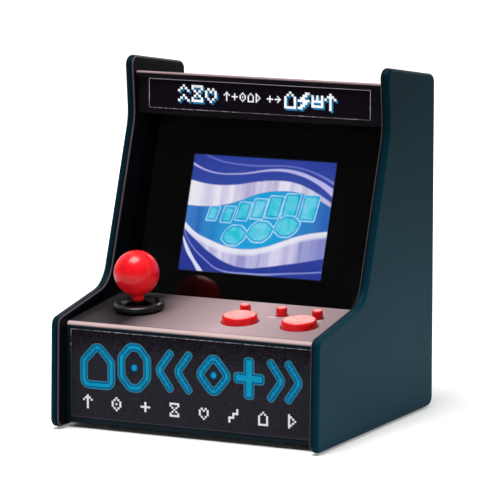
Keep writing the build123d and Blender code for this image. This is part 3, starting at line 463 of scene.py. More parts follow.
def picture_finish(look):
    """The lit picture: silver waves over blue, with a bright river between them."""
    finish = Finish("lit_picture", {
        "Base Color": (0.01, 0.01, 0.012, 1), "Roughness": 0.3,
        "Emission Strength": look.picture_glow,
    })
    across = finish.spread(finish.along(RIGHT), 0, 1, -PICTURE[0] / 2, PICTURE[0] / 2)
    up_axis = SCREEN_FACE.to_3x3() @ Vector((0, 1, 0))
    up = finish.spread(finish.along(up_axis, SCREEN_FOOT), 0, 1, 0, PICTURE[1])

    def edge(name):
        """Height of a band's edge above the picture's foot, at each place across."""
        curve = finish.add("FloatCurve", {"Value": across})
        line = curve.node.mapping.curves[0]
        curve.node.mapping.use_clip = False
        points = PICTURE_EDGES[name]
        while len(line.points) < len(points):
            line.points.new(0.5, 0.5)
        for spot, (place, height) in zip(line.points, points):
            spot.location = (place, height)
        curve.node.mapping.update()
        return curve

    def above(foot, soft):
        return finish.math("DIVIDE", finish.minus(up, foot), soft, clamp=True)

    def between(foot, top, soft=0.012):
        return finish.times(above(foot, soft), finish.minus(1.0, above(top, soft)))

    def banded(name, under, colour):
        return finish.mix(between(edge(name + "_foot"), edge(name + "_top")), under, colour)

    def streaks(dark, light, scale):
        """Upright brushed streaks between two colours."""
        brushed = finish.noise(scale, 4, 0.6, finish.scaled((1, 0.04, 0.04)))
        return finish.graded(brushed, tone(*dark), tone(*light), 0.35, 0.65)

    def inside(value, soft=0.004):
        """1 within the picture's edge on one axis, from a share across or up it."""
        return finish.math(
            "DIVIDE", finish.times(finish.minus(1.0, value), value), soft, clamp=True
        )

    glow = finish.spread(finish.off(up, 0.55), 1, 0, 0, 0.6)
    clouds = finish.mixed(finish.noise(40, 3, 0.5, finish.scaled((1, 0.3, 0.3))), glow)
    sky = finish.graded(clouds, tone(26, 46, 146), tone(54, 82, 180), 0.2, 0.8)
    picture = banded("hairline", sky, tone(120, 128, 205))
    picture = banded("streak", picture, tone(196, 190, 240))
    silver = streaks((176, 166, 214), (240, 236, 250), 260)
    silver = finish.mix(finish.spread(across, 0.85, 0, 0, 0.30), silver, tone(252, 250, 255))
    crest_foot, river_foot = edge("crest_foot"), edge("river_foot")
    picture = finish.mix(between(crest_foot, edge("crest_top")), picture, silver)
    river = streaks((30, 96, 184), (62, 132, 208), 330)
    lit = finish.spread(finish.off(across, 0.5), 0.95, 0, 0.12, 0.44)
    river = finish.mix(lit, river, tone(14, 168, 228))
    picture = finish.mix(between(river_foot, crest_foot), picture, river)
    shore = streaks((150, 150, 212), (226, 220, 246), 240)
    right_dusk = finish.spread(across, 0, 0.75, 0.70, 1.0)
    shore = finish.mix(right_dusk, shore, tone(112, 122, 198))
    shine = between(finish.minus(river_foot, 0.06), river_foot, 0.03)
    shore = finish.mix(finish.times(shine, 0.8), shore, tone(248, 248, 255))
    picture = finish.mix(between(edge("shore_foot"), river_foot), picture, shore)
    picture = banded("thread", picture, tone(150, 156, 222))
    picture = banded("ribbon", picture, tone(228, 228, 250))
    picture = finish.mix(finish.times(inside(across), inside(up)), (0, 0, 0, 1), picture)
    columns = finish.math("SINE", finish.times(across, 320 * 2 * math.pi))
    rows = finish.math("SINE", finish.times(up, 240 * 2 * math.pi))
    mesh_lines = finish.spread(finish.mixed(columns, rows), 0.94, 1.0, -1, 1)
    finish.join("Emission Color", finish.mix(1.0, picture, mesh_lines, blend="MULTIPLY"))
    return finish


class CabinetLook(bpy.types.PropertyGroup):
    """Colours that change from one cabinet to the next."""

    def colour(name, description, default):
        return bpy.props.FloatVectorProperty(
            name=name, description=description, default=default, size=4, subtype="COLOR",
            min=0.0, max=1.0,
        )

    # The low and high panel colours are painted teal light on the panels' outer faces.
    panel_lit_low: colour("Panel, low", "Side panels near the foot", tone(4, 47, 60))
    panel_lit_high: colour("Panel, high", "Side panels near the crown", tone(2, 29, 38))
    panel_core: colour("Panel, inside", "Inner faces of the side panels", tone(9, 11, 17))
    # The arris colour is a painted highlight along the panels' inner arris.
    panel_arris_highlight: colour("Panel arris", "Worn inner arris of the side panels", tone(104, 96, 100))
    panel_sheen: colour("Panel sheen", "Tint of the light off the side panels", (0.1, 0.8, 1.0, 1.0))
    shell_dark: colour("Shell, dark", "Darker tone of the shell", tone(8, 4, 10))
    shell_light: colour("Shell, light", "Lighter tone of the shell", tone(12, 8, 14))
    # This colour is a painted highlight along the roof's front edge.
    brow_highlight: colour("Brow", "Polished front edge of the roof", tone(150, 126, 130))
    # The deck's dark, middle and light tones are painted shade and painted light across the deck.
    deck_shade: colour("Deck, dark", "Darker tone of the control deck", tone(16, 13, 17))
    deck_half_lit: colour("Deck, middle", "Middle tone of the control deck", tone(128, 109, 111))
    # The lip colour is a painted highlight along the deck's front and back edges.
    lip: colour("Lip", "Polished edges of the control deck", tone(186, 162, 160))
    deck_lit: colour("Deck, light", "Lighter tone of the control deck", tone(168, 145, 149))
    apron: colour("Apron", "Front of the deck, round its label", tone(4, 23, 31))
    deck_fleck: colour("Deck flecks", "Sparkle in the control deck", tone(170, 148, 150))
    deck_sheen: colour("Deck sheen", "Tint of the deck's sheen", (1.0, 0.86, 0.88, 1.0))
    red_dark: colour("Red, dark", "Darker tone of ball and buttons", tone(206, 16, 24))
    red_light: colour("Red, light", "Lighter tone of ball and buttons", tone(226, 22, 31))
    # The buttons' top colours are a painted highlight of the light from above.
    top_highlight_dark: colour("Frost, dark", "Darker tone of the buttons' tops", tone(240, 128, 120))
    top_highlight_light: colour("Frost, light", "Lighter tone of the buttons' tops", tone(250, 160, 150))
    label_ground: colour("Label", "Ground of the printed labels", tone(38, 37, 44))
    neon_body: colour("Neon", "Body of the printed neon strokes", tone(0, 116, 152))
    neon_line: colour("Neon line", "Dark line inside the neon strokes", tone(0, 62, 112))
    neon_core: colour("Neon core", "Bright middle of the neon strokes", tone(0, 140, 178))
    neon_edge: colour("Neon edge", "Pale edge round the neon strokes", tone(62, 96, 106))
    print_white: colour("White ink", "White print on the labels and deck", tone(226, 226, 230))
    print_shadow: colour("Blue ink", "Offset shadow of the marquee's print", tone(22, 118, 165))
    picture_glow: bpy.props.FloatProperty(
        name="Picture glow", description="Strength of the lit picture", default=1.0, min=0.0
    )


class CabinetSizes(bpy.types.PropertyGroup):
    """Sizes of the new pieces; what the frame fixes is read from it."""

    def length(name, description, millimetres):
        return bpy.props.FloatProperty(
            name=name, description=description, default=millimetres * MM, min=0.0,
            subtype="DISTANCE", unit="LENGTH", precision=5,
        )

    ball_radius: length("Ball radius", "Radius of the joystick's ball", 7.0)
    ball_height: length("Ball height", "Centre of the ball above the deck", 11.6)
    neck_radius: length("Neck radius", "Radius of the ball's neck", 1.9)
    neck_foot: length("Neck foot", "Foot of the ball's neck above the deck", 3.0)
    ring_radius: length("Ring radius", "Outer radius of the joystick's ring", 7.85)
    ring_bore: length("Ring bore", "Radius of the hole in the ring", 4.0)
    ring_height: length("Ring height", "Height of the ring above the deck", 2.5)
    large_radius: length("Large button", "Radius of a large button's top", 5.35)
    large_proud: length("Large button height", "Height above the deck", 2.2)
    small_radius: length("Small button", "Radius of a small button's top", 1.65)
    small_proud: length("Small button height", "Height above the deck", 2.6)
    ink_thickness: length("Ink thickness", "How far print stands off its label", 0.02)


# ---- ways of working -----------------------------------------------------------------


def object_mode():
    if bpy.context.object and bpy.context.object.mode != "OBJECT":
        bpy.ops.object.mode_set(mode="OBJECT")


def take(*pieces):
    """Choose these objects alone, with the first of them active."""
    object_mode()
    bpy.ops.object.select_all(action="DESELECT")
    for piece in pieces:
        piece.select_set(True)
    bpy.context.view_layer.objects.active = pieces[0]


def on_its_own(add, **place):
    """Add a primitive with nothing else selected, put its place in its mesh, and edit it."""
    object_mode()
    bpy.ops.object.select_all(action="DESELECT")
    add(**place)
    piece = bpy.context.object
    bpy.ops.object.transform_apply(location=True, rotation=True, scale=True)
    bpy.ops.object.mode_set(mode="EDIT")
    return piece


def disc(vertices, radius, fill="NGON", **place):
    """A flat round outline, filled or open, in edit mode."""
    return on_its_own(bpy.ops.mesh.primitive_circle_add, vertices=vertices, radius=radius,
                      fill_type=fill, **place)


def choose_all(kind=None):
    """In edit mode, select all of a mesh, in another select mode if one is given."""
    if kind:
        bpy.ops.mesh.select_mode(type=kind)
    bpy.ops.mesh.select_all(action="SELECT")


def choose(piece, kind, passes):
    """In edit mode, select the verts or faces whose middle passes a test."""
    bpy.ops.mesh.select_mode(type={"verts": "VERT", "faces": "FACE"}[kind])
    bpy.ops.mesh.select_all(action="DESELECT")
    shape = bmesh.from_edit_mesh(piece.data)
    for part in getattr(shape, kind):
        if passes(part.co if kind == "verts" else part.calc_center_median()):
            part.select_set(True)
    bmesh.update_edit_mesh(piece.data)


def draw_rim(profile):
    """Extrude the chosen rim, a circle about Z, through (radius, height) rings."""
    for (radius, height), (next_radius, next_height) in zip(profile, profile[1:]):
        rise = (0, 0, next_height - height)
        bpy.ops.mesh.extrude_region_move(TRANSFORM_OT_translate={"value": rise})
        share = next_radius / radius
        bpy.ops.transform.resize(value=(share, share, 1), center_override=(0, 0, next_height))


def tidy_normals():
    """Merge doubles and turn every face outwards."""
    choose_all()
    bpy.ops.mesh.remove_doubles(threshold=1e-6)
    bpy.ops.mesh.normals_make_consistent(inside=False)


def turned(profile, segments=96):
    """A closed round piece about Z, from the middle of its top to the edge of its foot."""
    radius, height = profile[0]
    piece = disc(segments, radius, location=(0, 0, height))
    choose_all("EDGE")
    bpy.ops.mesh.region_to_loop()
    draw_rim(profile)
    bpy.ops.mesh.edge_face_add()
    tidy_normals()
    return piece


def turned_ring(profile, segments=96):
    """A ring about Z whose section is a closed run of (radius, height) points."""
    radius, height = profile[0]
    piece = disc(segments, radius, "NOTHING", location=(0, 0, height))
    choose_all()
    draw_rim([*profile, profile[0]])
    tidy_normals()
    return piece


def rounding(middle, radius, start, end, steps):
    """Points of an arc from one angle to another, in degrees from level."""
    points = []
    for step in range(steps + 1):
        angle = math.radians(start + (end - start) * step / steps)
        points.append((middle[0] + radius * math.cos(angle), middle[1] + radius * math.sin(angle)))
    return points


def settle(piece, place, name, body, finishes, nodes=(), angle=35):
    """Finish a piece: its place in its mesh, its shading, its finishes, body and slot."""
    take(piece)
    piece.matrix_world = place
    bpy.ops.object.transform_apply(location=True, rotation=True, scale=True)
    bpy.ops.object.shade_smooth_by_angle(angle=math.radians(angle))
    piece.name = name
    piece.data.name = name
    if finishes:
        piece.data.materials.clear()
        use_inks(piece, finishes)
    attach(piece, body)
    if nodes:
        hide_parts(*nodes)


def join_all(pieces):
    """Several objects as one, with the first one's name and finishes."""
    take(*pieces)
    bpy.ops.object.join()
    return bpy.context.object


def use_inks(piece, inks):
    """Give a piece its inks in order, while it is still being drawn."""
    for ink in inks:
        piece.data.materials.append(ink)


def lay_ink(layers):
    """Build the chosen flat shape up: inset by each width, raised, in the next ink."""
    piece = bpy.context.object
    for index, (width, rise) in enumerate(layers, 1):
        bpy.ops.mesh.inset(thickness=width, depth=rise)
        piece.active_material_index = index
        bpy.ops.object.material_slot_assign()


def raise_print(height):
    """Turn a flat shape into a thin closed plate, with its upper side chosen."""
    choose_all("FACE")
    bpy.ops.mesh.normals_make_consistent(inside=False)
    bpy.ops.mesh.extrude_region_move(TRANSFORM_OT_translate={"value": (0, 0, height)})


def round_corners(offset, segments=5):
    """Round the chosen corners of a flat shape."""
    bpy.ops.mesh.bevel(offset=offset, segments=segments, affect="VERTICES")


def resize(across, up):
    """Stretch what is chosen about the middle of its plane."""
    bpy.ops.transform.resize(value=(across, up, 1), center_override=(0, 0, 0))


def grid_mark(rows, width, height, thickness):
    """A small mark cut from a grid: # stays and . is cut away, rows from the top down."""
    count_x, count_y = len(rows[0]), len(rows)
    piece = on_its_own(
        bpy.ops.mesh.primitive_grid_add, x_subdivisions=count_x, y_subdivisions=count_y, size=1
    )
    choose_all()
    resize(width, height)

    def cut_away(middle):
        column = int((middle.x / width + 0.5) * count_x)
        row = int((0.5 - middle.y / height) * count_y)
        return rows[row][column] == "."

    choose(piece, "faces", cut_away)
    bpy.ops.mesh.delete(type="FACE")
    raise_print(thickness)
    tidy_normals()
    object_mode()
    return piece


def shift(piece, x, y):
    """Move a finished flat mark within its own plane."""
    take(piece)
    bpy.ops.transform.translate(value=(x, y, 0))
    bpy.ops.object.transform_apply(location=True, rotation=False, scale=False)
    return piece


def red_finish(name="red_gloss"):
    """Red plastic: glossy, or the paler red painted on the buttons' tops as a highlight of the light from above.
    """
    found = bpy.data.materials.get(name)
    if found:
        return found
    look = bpy.context.scene.cabinet_look
    dark, light = look.red_dark, look.red_light
    sockets = {"Coat Weight": 0.12, "Coat Roughness": 0.12, "Specular IOR Level": 0.25}
    if name == "red_frost":
        dark, light = look.top_highlight_dark, look.top_highlight_light
        sockets = {"Specular IOR Level": 0.3}
    finish = Finish(name, sockets)
    cloud = finish.noise(240, 3)
    fine = finish.noise(2500, 3, 0.6)
    return finish.dress(finish.graded(cloud, dark, light), (fine, 0.22, 0.34), fine, 3e-6).material


# ---- one operator for each piece or group --------------------------------------------


class CabinetStage(bpy.types.Operator):
    """Pale floor, white surround, soft lamps and the camera"""

    bl_idname = "cabinet.stage"
    bl_label = "Stage"

    LAMP_AIM = Vector((0, 0, 0.055))
    LAMPS = (  # name, place, size in metres and power in watts
        ("lamp_overhead", (-0.05, -0.14, 0.56), 0.30, 4.6),
        ("lamp_front", (-0.10, -0.80, 0.06), 0.30, 1.1),
        ("lamp_right", (0.62, -0.05, 0.05), 0.30, 1.8),
        ("lamp_back", (0.10, 0.60, 0.40), 0.40, 1.2),
    )
    AZIMUTH, ELEVATION = 26.41, 8.99  # of the camera, in degrees
    CAMERA_AIM, CAMERA_FAR, LENS_MM = Vector((0.89, 2.25, 52.07)) * MM, 1.1451, 268.6

    def execute(self, context):
        self.floor()
        self.surround(context.scene)
        self.lamps()
        self.camera(context.scene)
        return {"FINISHED"}

    def floor(self):
        """A matt floor that glows only where it is seen, and not under the cabinet, where the missing glow is a
        painted shadow.
        """
        bpy.ops.object.select_all(action="DESELECT")
        bpy.ops.mesh.primitive_plane_add(size=6.0, location=(0, 0, 0))
        floor = bpy.context.object
        floor.name = "floor"
        white = {"Emission Color": (1, 1, 1, 1)}
        finish = Finish("pale_floor", {"Roughness": 0.9, "Specular IOR Level": 0.1, **white})
        far = finish.add("VectorMath", {0: finish.place}, output="Value", operation="LENGTH")
        away = finish.spread(far, 0, 1, 0.16, 0.45)
        pale = finish.graded(finish.noise(3, 3), (0.80, 0.80, 0.80, 1), (0.82, 0.82, 0.82, 1))
        finish.join("Base Color", finish.mix(away, pale, (0.7, 0.7, 0.7, 1)))
        # Inside the cabinet's footprint the floor's glow is taken away: a painted shadow under the cabinet.
        sides = ((1 / CAD_BOX[1].x, 0, 0), (0, 1 / CAD_BOX[1].y, 0))
        beside = finish.math("MAXIMUM", *(finish.off(finish.along(side)) for side in sides))
        clear = finish.spread(beside, 0.0, 0.30, 0.90, 1.0)
        seen = finish.add("LightPath", output="Is Camera Ray")
        own = finish.times(seen, finish.math("MAXIMUM", clear, away))
        finish.join("Emission Strength", own)
        floor.data.materials.append(finish.material)

    def surround(self, scene):
        """White where it is seen; for the rest a studio, bright behind and dim in front."""
        world = bpy.data.worlds.new("white_surround")
        world.use_nodes = True
        scene.world = world
        tree = world.node_tree

        def add(kind, *values, output=0, **settings):
            return lay(tree, kind, dict(enumerate(values)), output, **settings)

        def ray(kind):
            return add("LightPath", output=f"Is {kind} Ray")

        depth = add("SeparateXYZ", add("TexCoord", output="Generated"), output="Y")
        studio = add("MapRange", depth, -0.35, 0.75, 0.04, 1.0)
        shiny = add("Math", ray("Glossy"), ray("Transmission"), operation="MAXIMUM")
        share = add("MapRange", shiny, 0.0, 1.0, 0.6, 1.0)
        unseen = add("Math", studio, share, operation="MULTIPLY")
        strength = add("Math", unseen, ray("Camera"), operation="MAXIMUM")
        background = tree.nodes["Background"]
        background.inputs["Color"].default_value = (1, 1, 1, 1)
        tree.links.new(strength, background.inputs["Strength"])

    def lamps(self):
        """Soft square lamps; only the overhead one is mirrored in the glossy parts."""
        for name, place, size, power in self.LAMPS:
            bpy.ops.object.light_add(type="AREA", location=place)
            lamp = bpy.context.object
            lamp.name = name
            lamp.data.size = size
            lamp.data.energy = power
            lamp.visible_glossy = lamp.visible_transmission = name == "lamp_overhead"
            aim = self.LAMP_AIM - Vector(place)
            lamp.rotation_euler = aim.to_track_quat("-Z", "Y").to_euler()

    def camera(self, scene):
        azimuth, elevation = math.radians(self.AZIMUTH), math.radians(self.ELEVATION)
        back = Vector((
            math.sin(azimuth) * math.cos(elevation),
            -math.cos(azimuth) * math.cos(elevation),
            math.sin(elevation),
        ))
        bpy.ops.object.camera_add(location=self.CAMERA_AIM + back * self.CAMERA_FAR)
        camera = bpy.context.object
        camera.name = "camera"
        camera.rotation_euler = (-back).to_track_quat("-Z", "Y").to_euler()
        camera.data.sensor_width = 36.0
        camera.data.lens = self.LENS_MM
        camera.data.clip_start = 0.02
        scene.camera = camera
        scene.view_settings.view_transform = "Standard"


# Name, darker and lighter tone, grain, gloss, depth and other sockets of each moulding.
MOULDINGS = {
    "black_gloss": ("ring_gloss", (10, 9, 11), (16, 14, 16), 2600, (0.30, 0.38), 2e-6,
                    {"Specular IOR Level": 0.4}),
    "black_film": ("printed_black", (2, 2, 4), (4, 4, 7), 3000, (0.5, 0.6), 1e-6,
                   {"Specular IOR Level": 0.03}),
    "foam": ("soft_foam", (34, 34, 36), (52, 52, 54), 2200, (0.9, 1.0), 6e-5),
    "white_tray": ("white_moulding", (214, 214, 210), (230, 230, 226), 1800, (0.4, 0.5), 4e-6),
    "silicone": ("grey_silicone", (150, 150, 146), (176, 176, 172), 1400, (0.5, 0.65), 8e-6,
                 {"Subsurface Weight": 0.15, "Subsurface Scale": 0.002}),
    "chip_epoxy": ("moulded_epoxy", (22, 22, 24), (34, 34, 36), 5000, (0.55, 0.7), 1e-5),
    "connector_white": ("nylon", (206, 200, 184), (222, 216, 202), 2000, (0.45, 0.55), 4e-6),
    "flex_amber": ("amber_film", (176, 104, 30), (206, 130, 48), 900, (0.25, 0.4), 4e-6,
                   {"Coat Weight": 0.3}),
    "ferrite": ("sintered_ferrite", (48, 48, 52), (76, 76, 80), 3000, (0.6, 0.8), 2e-5),
    "wire_red": ("wire_insulation", (150, 16, 18), (180, 26, 28), 1500, (0.35, 0.45), 4e-6),
    "foot_rubber": ("foot_rubber", (36, 36, 38), (50, 50, 52), 2600, (0.75, 0.9), 2e-5),
}
# Name, darker and lighter tone, grain and gloss of each plating.
PLATINGS = {
    "steel": ("zinc_plate", (150, 152, 156), (196, 197, 200), 700, (0.25, 0.4)),
    "nickel": ("nickel_plate", (176, 170, 158), (214, 208, 196), 900, (0.15, 0.3)),
}


class CabinetFinishes(bpy.types.Operator):
    """Finishes of every part that keeps the frame's own shape"""

    bl_idname = "cabinet.finishes"
    bl_label = "Finishes of the fixed parts"

    def execute(self, context):
        look = context.scene.cabinet_look
        finishes = {slot: moulded(*row) for slot, row in MOULDINGS.items()}
        finishes |= {slot: plated(*row) for slot, row in PLATINGS.items()}
        finishes |= {
            "panel_plastic": panel_finish(look),
            "shell_plastic": shell_finish(look),
            "deck_plastic": deck_finish(look),
            "clear_acrylic": lens_finish(),
            "screen_glass": picture_finish(look),
            "label_print": label_finish(look),
            "board_green": board_finish(),
            "flat_cable": cable_finish(),
            "paper_cone": cone_finish(),
            "cell_can": cell_finish(),
        }
        materials = {slot: finish.material for slot, finish in finishes.items()}
        materials["red_plastic"] = red_finish()
        for part in frame["record"]["subparts"]:
            node = frame["nodes"][part["node"]]
            for holder in node.material_slots:
                holder.material = materials[part["material_slot"]]
        return {"FINISHED"}


class CabinetBallTop(bpy.types.Operator):
    """Ball of the joystick with its neck"""

    bl_idname = "cabinet.ball_top"
    bl_label = "Joystick ball"

    def execute(self, context):
        sizes = context.scene.cabinet_sizes
        radius, height, neck = sizes.ball_radius, sizes.ball_height, sizes.neck_radius
        blend = 0.7 * MM  # hollow that leads from the ball into its neck
        reach = radius + blend
        turn = math.degrees(math.acos((neck + blend) / reach))
        profile = rounding((0, height), radius, 87, -turn, 60)
        hollow = (neck + blend, height - reach * math.sin(math.radians(turn)))
        profile += rounding(hollow, blend, 180 - turn, 180, 8)[1:]
        profile += [(neck, sizes.neck_foot + 0.25 * MM), (neck - 0.2 * MM, sizes.neck_foot)]
        ball = turned(profile)
        settle(ball, STICK_FACE, "ball_top", "stick", [red_finish()],
               ["joystick_ball"])
        return {"FINISHED"}


class CabinetRing(bpy.types.Operator):
    """Glossy ring that the joystick stands in"""

    bl_idname = "cabinet.ring"
    bl_label = "Joystick ring"

    def execute(self, context):
        sizes = context.scene.cabinet_sizes
        outer, bore, top = sizes.ring_radius, sizes.ring_bore, sizes.ring_height
        edge, lip = 1.15 * MM, 0.55 * MM  # radii of the outer and of the inner rounding
        skirt, skirt_foot = 5.4 * MM, -2.0 * MM  # its radius, and its foot in the deck
        dish = top - 0.55 * MM
        profile = [(bore + 0.4 * MM, skirt_foot), (skirt, skirt_foot), (skirt, 0)]
        profile += [(outer - 0.25 * MM, 0)]
        outside = rounding((outer - edge, edge), edge, -62, 90, 14)
        profile += [(x, z * top / (2 * edge)) for x, z in outside]
        profile += rounding((bore + lip + 0.9 * MM, top - 0.2 * MM), 0.2 * MM, 90, 130, 4)
        profile += rounding((bore + lip, dish - lip), lip, 75, 180, 8)
        profile += [(bore, 0.2 * MM), (bore + 0.4 * MM, -0.2 * MM)]
        ring = turned_ring(profile, 128)
        gloss = frame["nodes"]["joystick_shaft"].material_slots[0].material
        settle(ring, STICK_FACE, "stick_ring", "cabinet", [gloss],
               ["joystick_ring"], 40)
        return {"FINISHED"}


class CabinetButtons(bpy.types.Operator):
    """Two large and three small push buttons"""

    bl_idname = "cabinet.buttons"
    bl_label = "Push buttons"

    def execute(self, context):
        sizes = context.scene.cabinet_sizes
        large = (sizes.large_radius, 0.25 * MM, sizes.large_proud, 6.35 * MM, 2.0 * MM)
        small = (sizes.small_radius, 0.05 * MM, sizes.small_proud, 2.4 * MM, 1.0 * MM)
        rows = (
            ("button_a", "large_button_a", 13.6, large),
            ("button_b", "large_button_b", 13.6, large),
            ("power_button", "small_button_power", 23.2, small),
            ("menu_button", "small_button_menu", 23.2, small),
            ("start_button", "small_button_start", 23.2, small),
        )
        for node, body, along, shape in rows:
            low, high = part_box(node)
            spot = Matrix.Translation(((low.x + high.x) / 2, along * MM, 0))
            cap = turned(self.profile(*shape))
            use_inks(cap, [red_finish(), red_finish("red_frost")])
            radius, proud = shape[0], shape[2]
            # The tops' faces take the paler red: a painted highlight of the light from above.
            rim = radius - self.rounded(radius) * 0.6
            choose(cap, "faces",
                   lambda middle: middle.z > proud - 0.3 * MM and middle.xy.length < rim)
            cap.active_material_index = 1
            bpy.ops.object.material_slot_assign()
            settle(cap, DECK_FACE @ spot, node + "_cap", body, [], [node])
        return {"FINISHED"}

    def rounded(self, radius):
        """Radius of the edge round a button's top."""
        return min(0.75 * MM, radius * 0.32)

    def profile(self, radius, flare, proud, flange, stem):
        """Dished top, rounded edge, flared side, flange under the deck and stem."""
        edge = self.rounded(radius)
        dish = radius * 0.028
        flange_top, flange_foot, stem_foot = -2.1 * MM, -3.4 * MM, -7.75 * MM
        points = [(radius * 0.05, proud - dish)]
        for share in (0.25, 0.45, 0.62, 0.76):
            sunk = dish * math.cos(share / 0.86 * math.pi / 2) ** 0.8
            points.append((radius * share, proud - sunk))
        points += rounding((radius - edge, proud - edge), edge, 88, 5, 9)
        skirt = radius + flare
        points += [(skirt - flare * 0.25, 0.5 * MM), (skirt, 0.2 * MM), (skirt, flange_top)]
        points += [(flange, flange_top), (flange, flange_foot), (stem, flange_foot)]
        points += [(stem, stem_foot)]
        return points


class CabinetKeypad(bpy.types.Operator):
    """Rubber keypad under the deck, with a dome under each control"""

    bl_idname = "cabinet.keypad"
    bl_label = "Rubber keypad"

    TOP, FOOT = -10.2 * MM, -11.0 * MM  # of the sheet, from the deck's face
    REACH = ((-34.2, 35.3), (5.2, 27.4))
    POSTS = ((37.6, 7.0), (37.6, 28.6), (-9.0, 20.0))  # screw posts that it clears
    # Radius at the foot, radius at the top and height of each kind of dome.
    LARGE, SMALL, STICK = (3.6, 2.3, 2.4), (2.1, 1.3, 2.4), (1.2, 0.8, 1.4)
    DOMES = (  # name, place on the deck's face, kind, joint, and share left when it is down
        ("dome_a", 9.5, 13.6, LARGE, "button_a_press", 0.48),
        ("dome_b", 29.3, 13.6, LARGE, "button_b_press", 0.48),
        ("dome_power", 6.6, 23.2, SMALL, "power_press", 0.64),
        ("dome_menu", 18.9, 23.2, SMALL, "menu_press", 0.64),
        ("dome_start", 30.8, 23.2, SMALL, "start_press", 0.64),
        ("dome_left", -29.8, 16.7, STICK, "stick_left_right", 0.5),
        ("dome_right", -23.6, 16.7, STICK, "stick_left_right", 0.5),
        ("dome_rear", -26.7, 19.8, STICK, "stick_fore_aft", 0.5),
        ("dome_front", -26.7, 13.6, STICK, "stick_fore_aft", 0.5),
    )

    def execute(self, context):
        silicone = frame["nodes"]["rubber_keypad"].material_slots[0].material
        settle(self.sheet(), DECK_FACE, "keypad_sheet", "cabinet", [silicone],
               ["rubber_keypad"])
        edge = 0.3
        for name, x, y, (low, high, height), joint, keep in self.DOMES:
            profile = [(high * 0.05, height)]
            profile += rounding((high - edge, height - edge), edge, 88, 25, 5)
            profile.append((low, -0.1))
            dome = turned([(radius * MM, level * MM) for radius, level in profile], 48)
            spot = Vector((x * MM, y * MM, self.TOP))
            settle(dome, DECK_FACE @ Matrix.Translation(spot), name, "cabinet",
                   [silicone])
            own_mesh(dome)
        return {"FINISHED"}

    def sheet(self):
        """A flat sheet with bites where the deck's screw posts come down."""
        bites = []
        for x, y in self.POSTS:
            bites.append(on_its_own(
                bpy.ops.mesh.primitive_cylinder_add, vertices=48, radius=3.0 * MM,
                depth=4.0 * MM, location=(x * MM, y * MM, self.TOP),
            ))
        cutter = join_all(bites)
        middle = [(low + high) / 2 * MM for low, high in self.REACH]
        span = [(high - low) * MM for low, high in self.REACH]
        sheet = on_its_own(
            bpy.ops.mesh.primitive_cube_add, size=1,
            location=(*middle, (self.TOP + self.FOOT) / 2),
            scale=(*span, self.TOP - self.FOOT),
        )
        object_mode()
        cut = sheet.modifiers.new("bites", "BOOLEAN")
        cut.operation = "DIFFERENCE"
        cut.object = cutter
        bpy.ops.object.modifier_apply(modifier=cut.name)
        bpy.data.objects.remove(cutter)
        return sheet


class CabinetPictureTiles(bpy.types.Operator):
    """Bevelled tiles of the title picture, under the screen's window"""

    bl_idname = "cabinet.picture_tiles"
    bl_label = "Tiles of the screen's picture"

    def execute(self, context):
        look = context.scene.cabinet_look
        inks = [
            self.lit("tile_edge", tone(176, 214, 246), tone(214, 226, 250), look),
            self.lit("tile_face", tone(24, 178, 224), tone(110, 206, 236), look),
            self.lit("tile_line", tone(12, 126, 200), tone(20, 150, 214), look),
            self.lit("tile_core", tone(20, 200, 222), tone(120, 214, 238), look),
        ]
        width, height = PICTURE
        plates = []
        upper = ((0.19, 0.50), (0.295, 0.50), (0.40, 0.535), (0.505, 0.565), (0.612, 0.59),
                 (0.725, 0.61), (0.852, 0.60))
        for index, (across, up) in enumerate(upper):
            size = (3.9 + 0.33 * index, 5.0 + 0.6 * index)
            spot = ((across - 0.5) * width, up * height)
            plates += self.tile(4, size, 1.3, spot, inks, 0.0)
        lower = ((0.36, 0.325, 8.2), (0.535, 0.372, 8.6), (0.715, 0.432, 8.4))
        for across, up, size in lower:
            spot = ((across - 0.5) * width, up * height)
            plates += self.tile(8, (size, size * 0.84), 1.2, spot, inks, 0.12 * MM)
        settle(join_all(plates), SCREEN_FACE, "picture_tiles", "cabinet", [])
        return {"FINISHED"}

    def lit(self, name, dark, light, look):
        finish = Finish(name, {
            "Base Color": (0.01, 0.01, 0.01, 1), "Roughness": 0.4,
            "Emission Strength": look.picture_glow,
        })
        shade = finish.noise(260, 3, 0.6)
        finish.join("Emission Color", finish.graded(shade, dark, light, 0.35, 0.65))
        return finish.material

    def tile(self, sides, size, slant, spot, inks, lift):
        """A many-sided tile that leans to the right: four plates, each within the last."""
        across = 1 / math.cos(math.pi / sides)  # from a polygon's reach to its width
        plates = []
        for level, (margin, ink) in enumerate(zip((0, 0.42, 1.35, 1.8), inks)):
            plate = disc(sides, 0.5, rotation=(0, 0, math.pi / sides))
            use_inks(plate, [ink])
            choose_all()
            resize(*((span - margin) * across * MM for span in size))
            lean = slant / 2 * (size[1] - margin) / size[1] * MM
            for side in (-1, 1):
                choose(plate, "verts", lambda middle: side * middle.y > 0.1 * MM)
                bpy.ops.transform.translate(value=(side * lean, 0, 0))
            choose_all("VERT")
            round_corners((0.55 - 0.15 * level) * MM, 3)
            raise_print(0.03 * MM * (level + 1) + lift)
            tidy_normals()
            plates.append(shift(plate, *spot))
        return plates


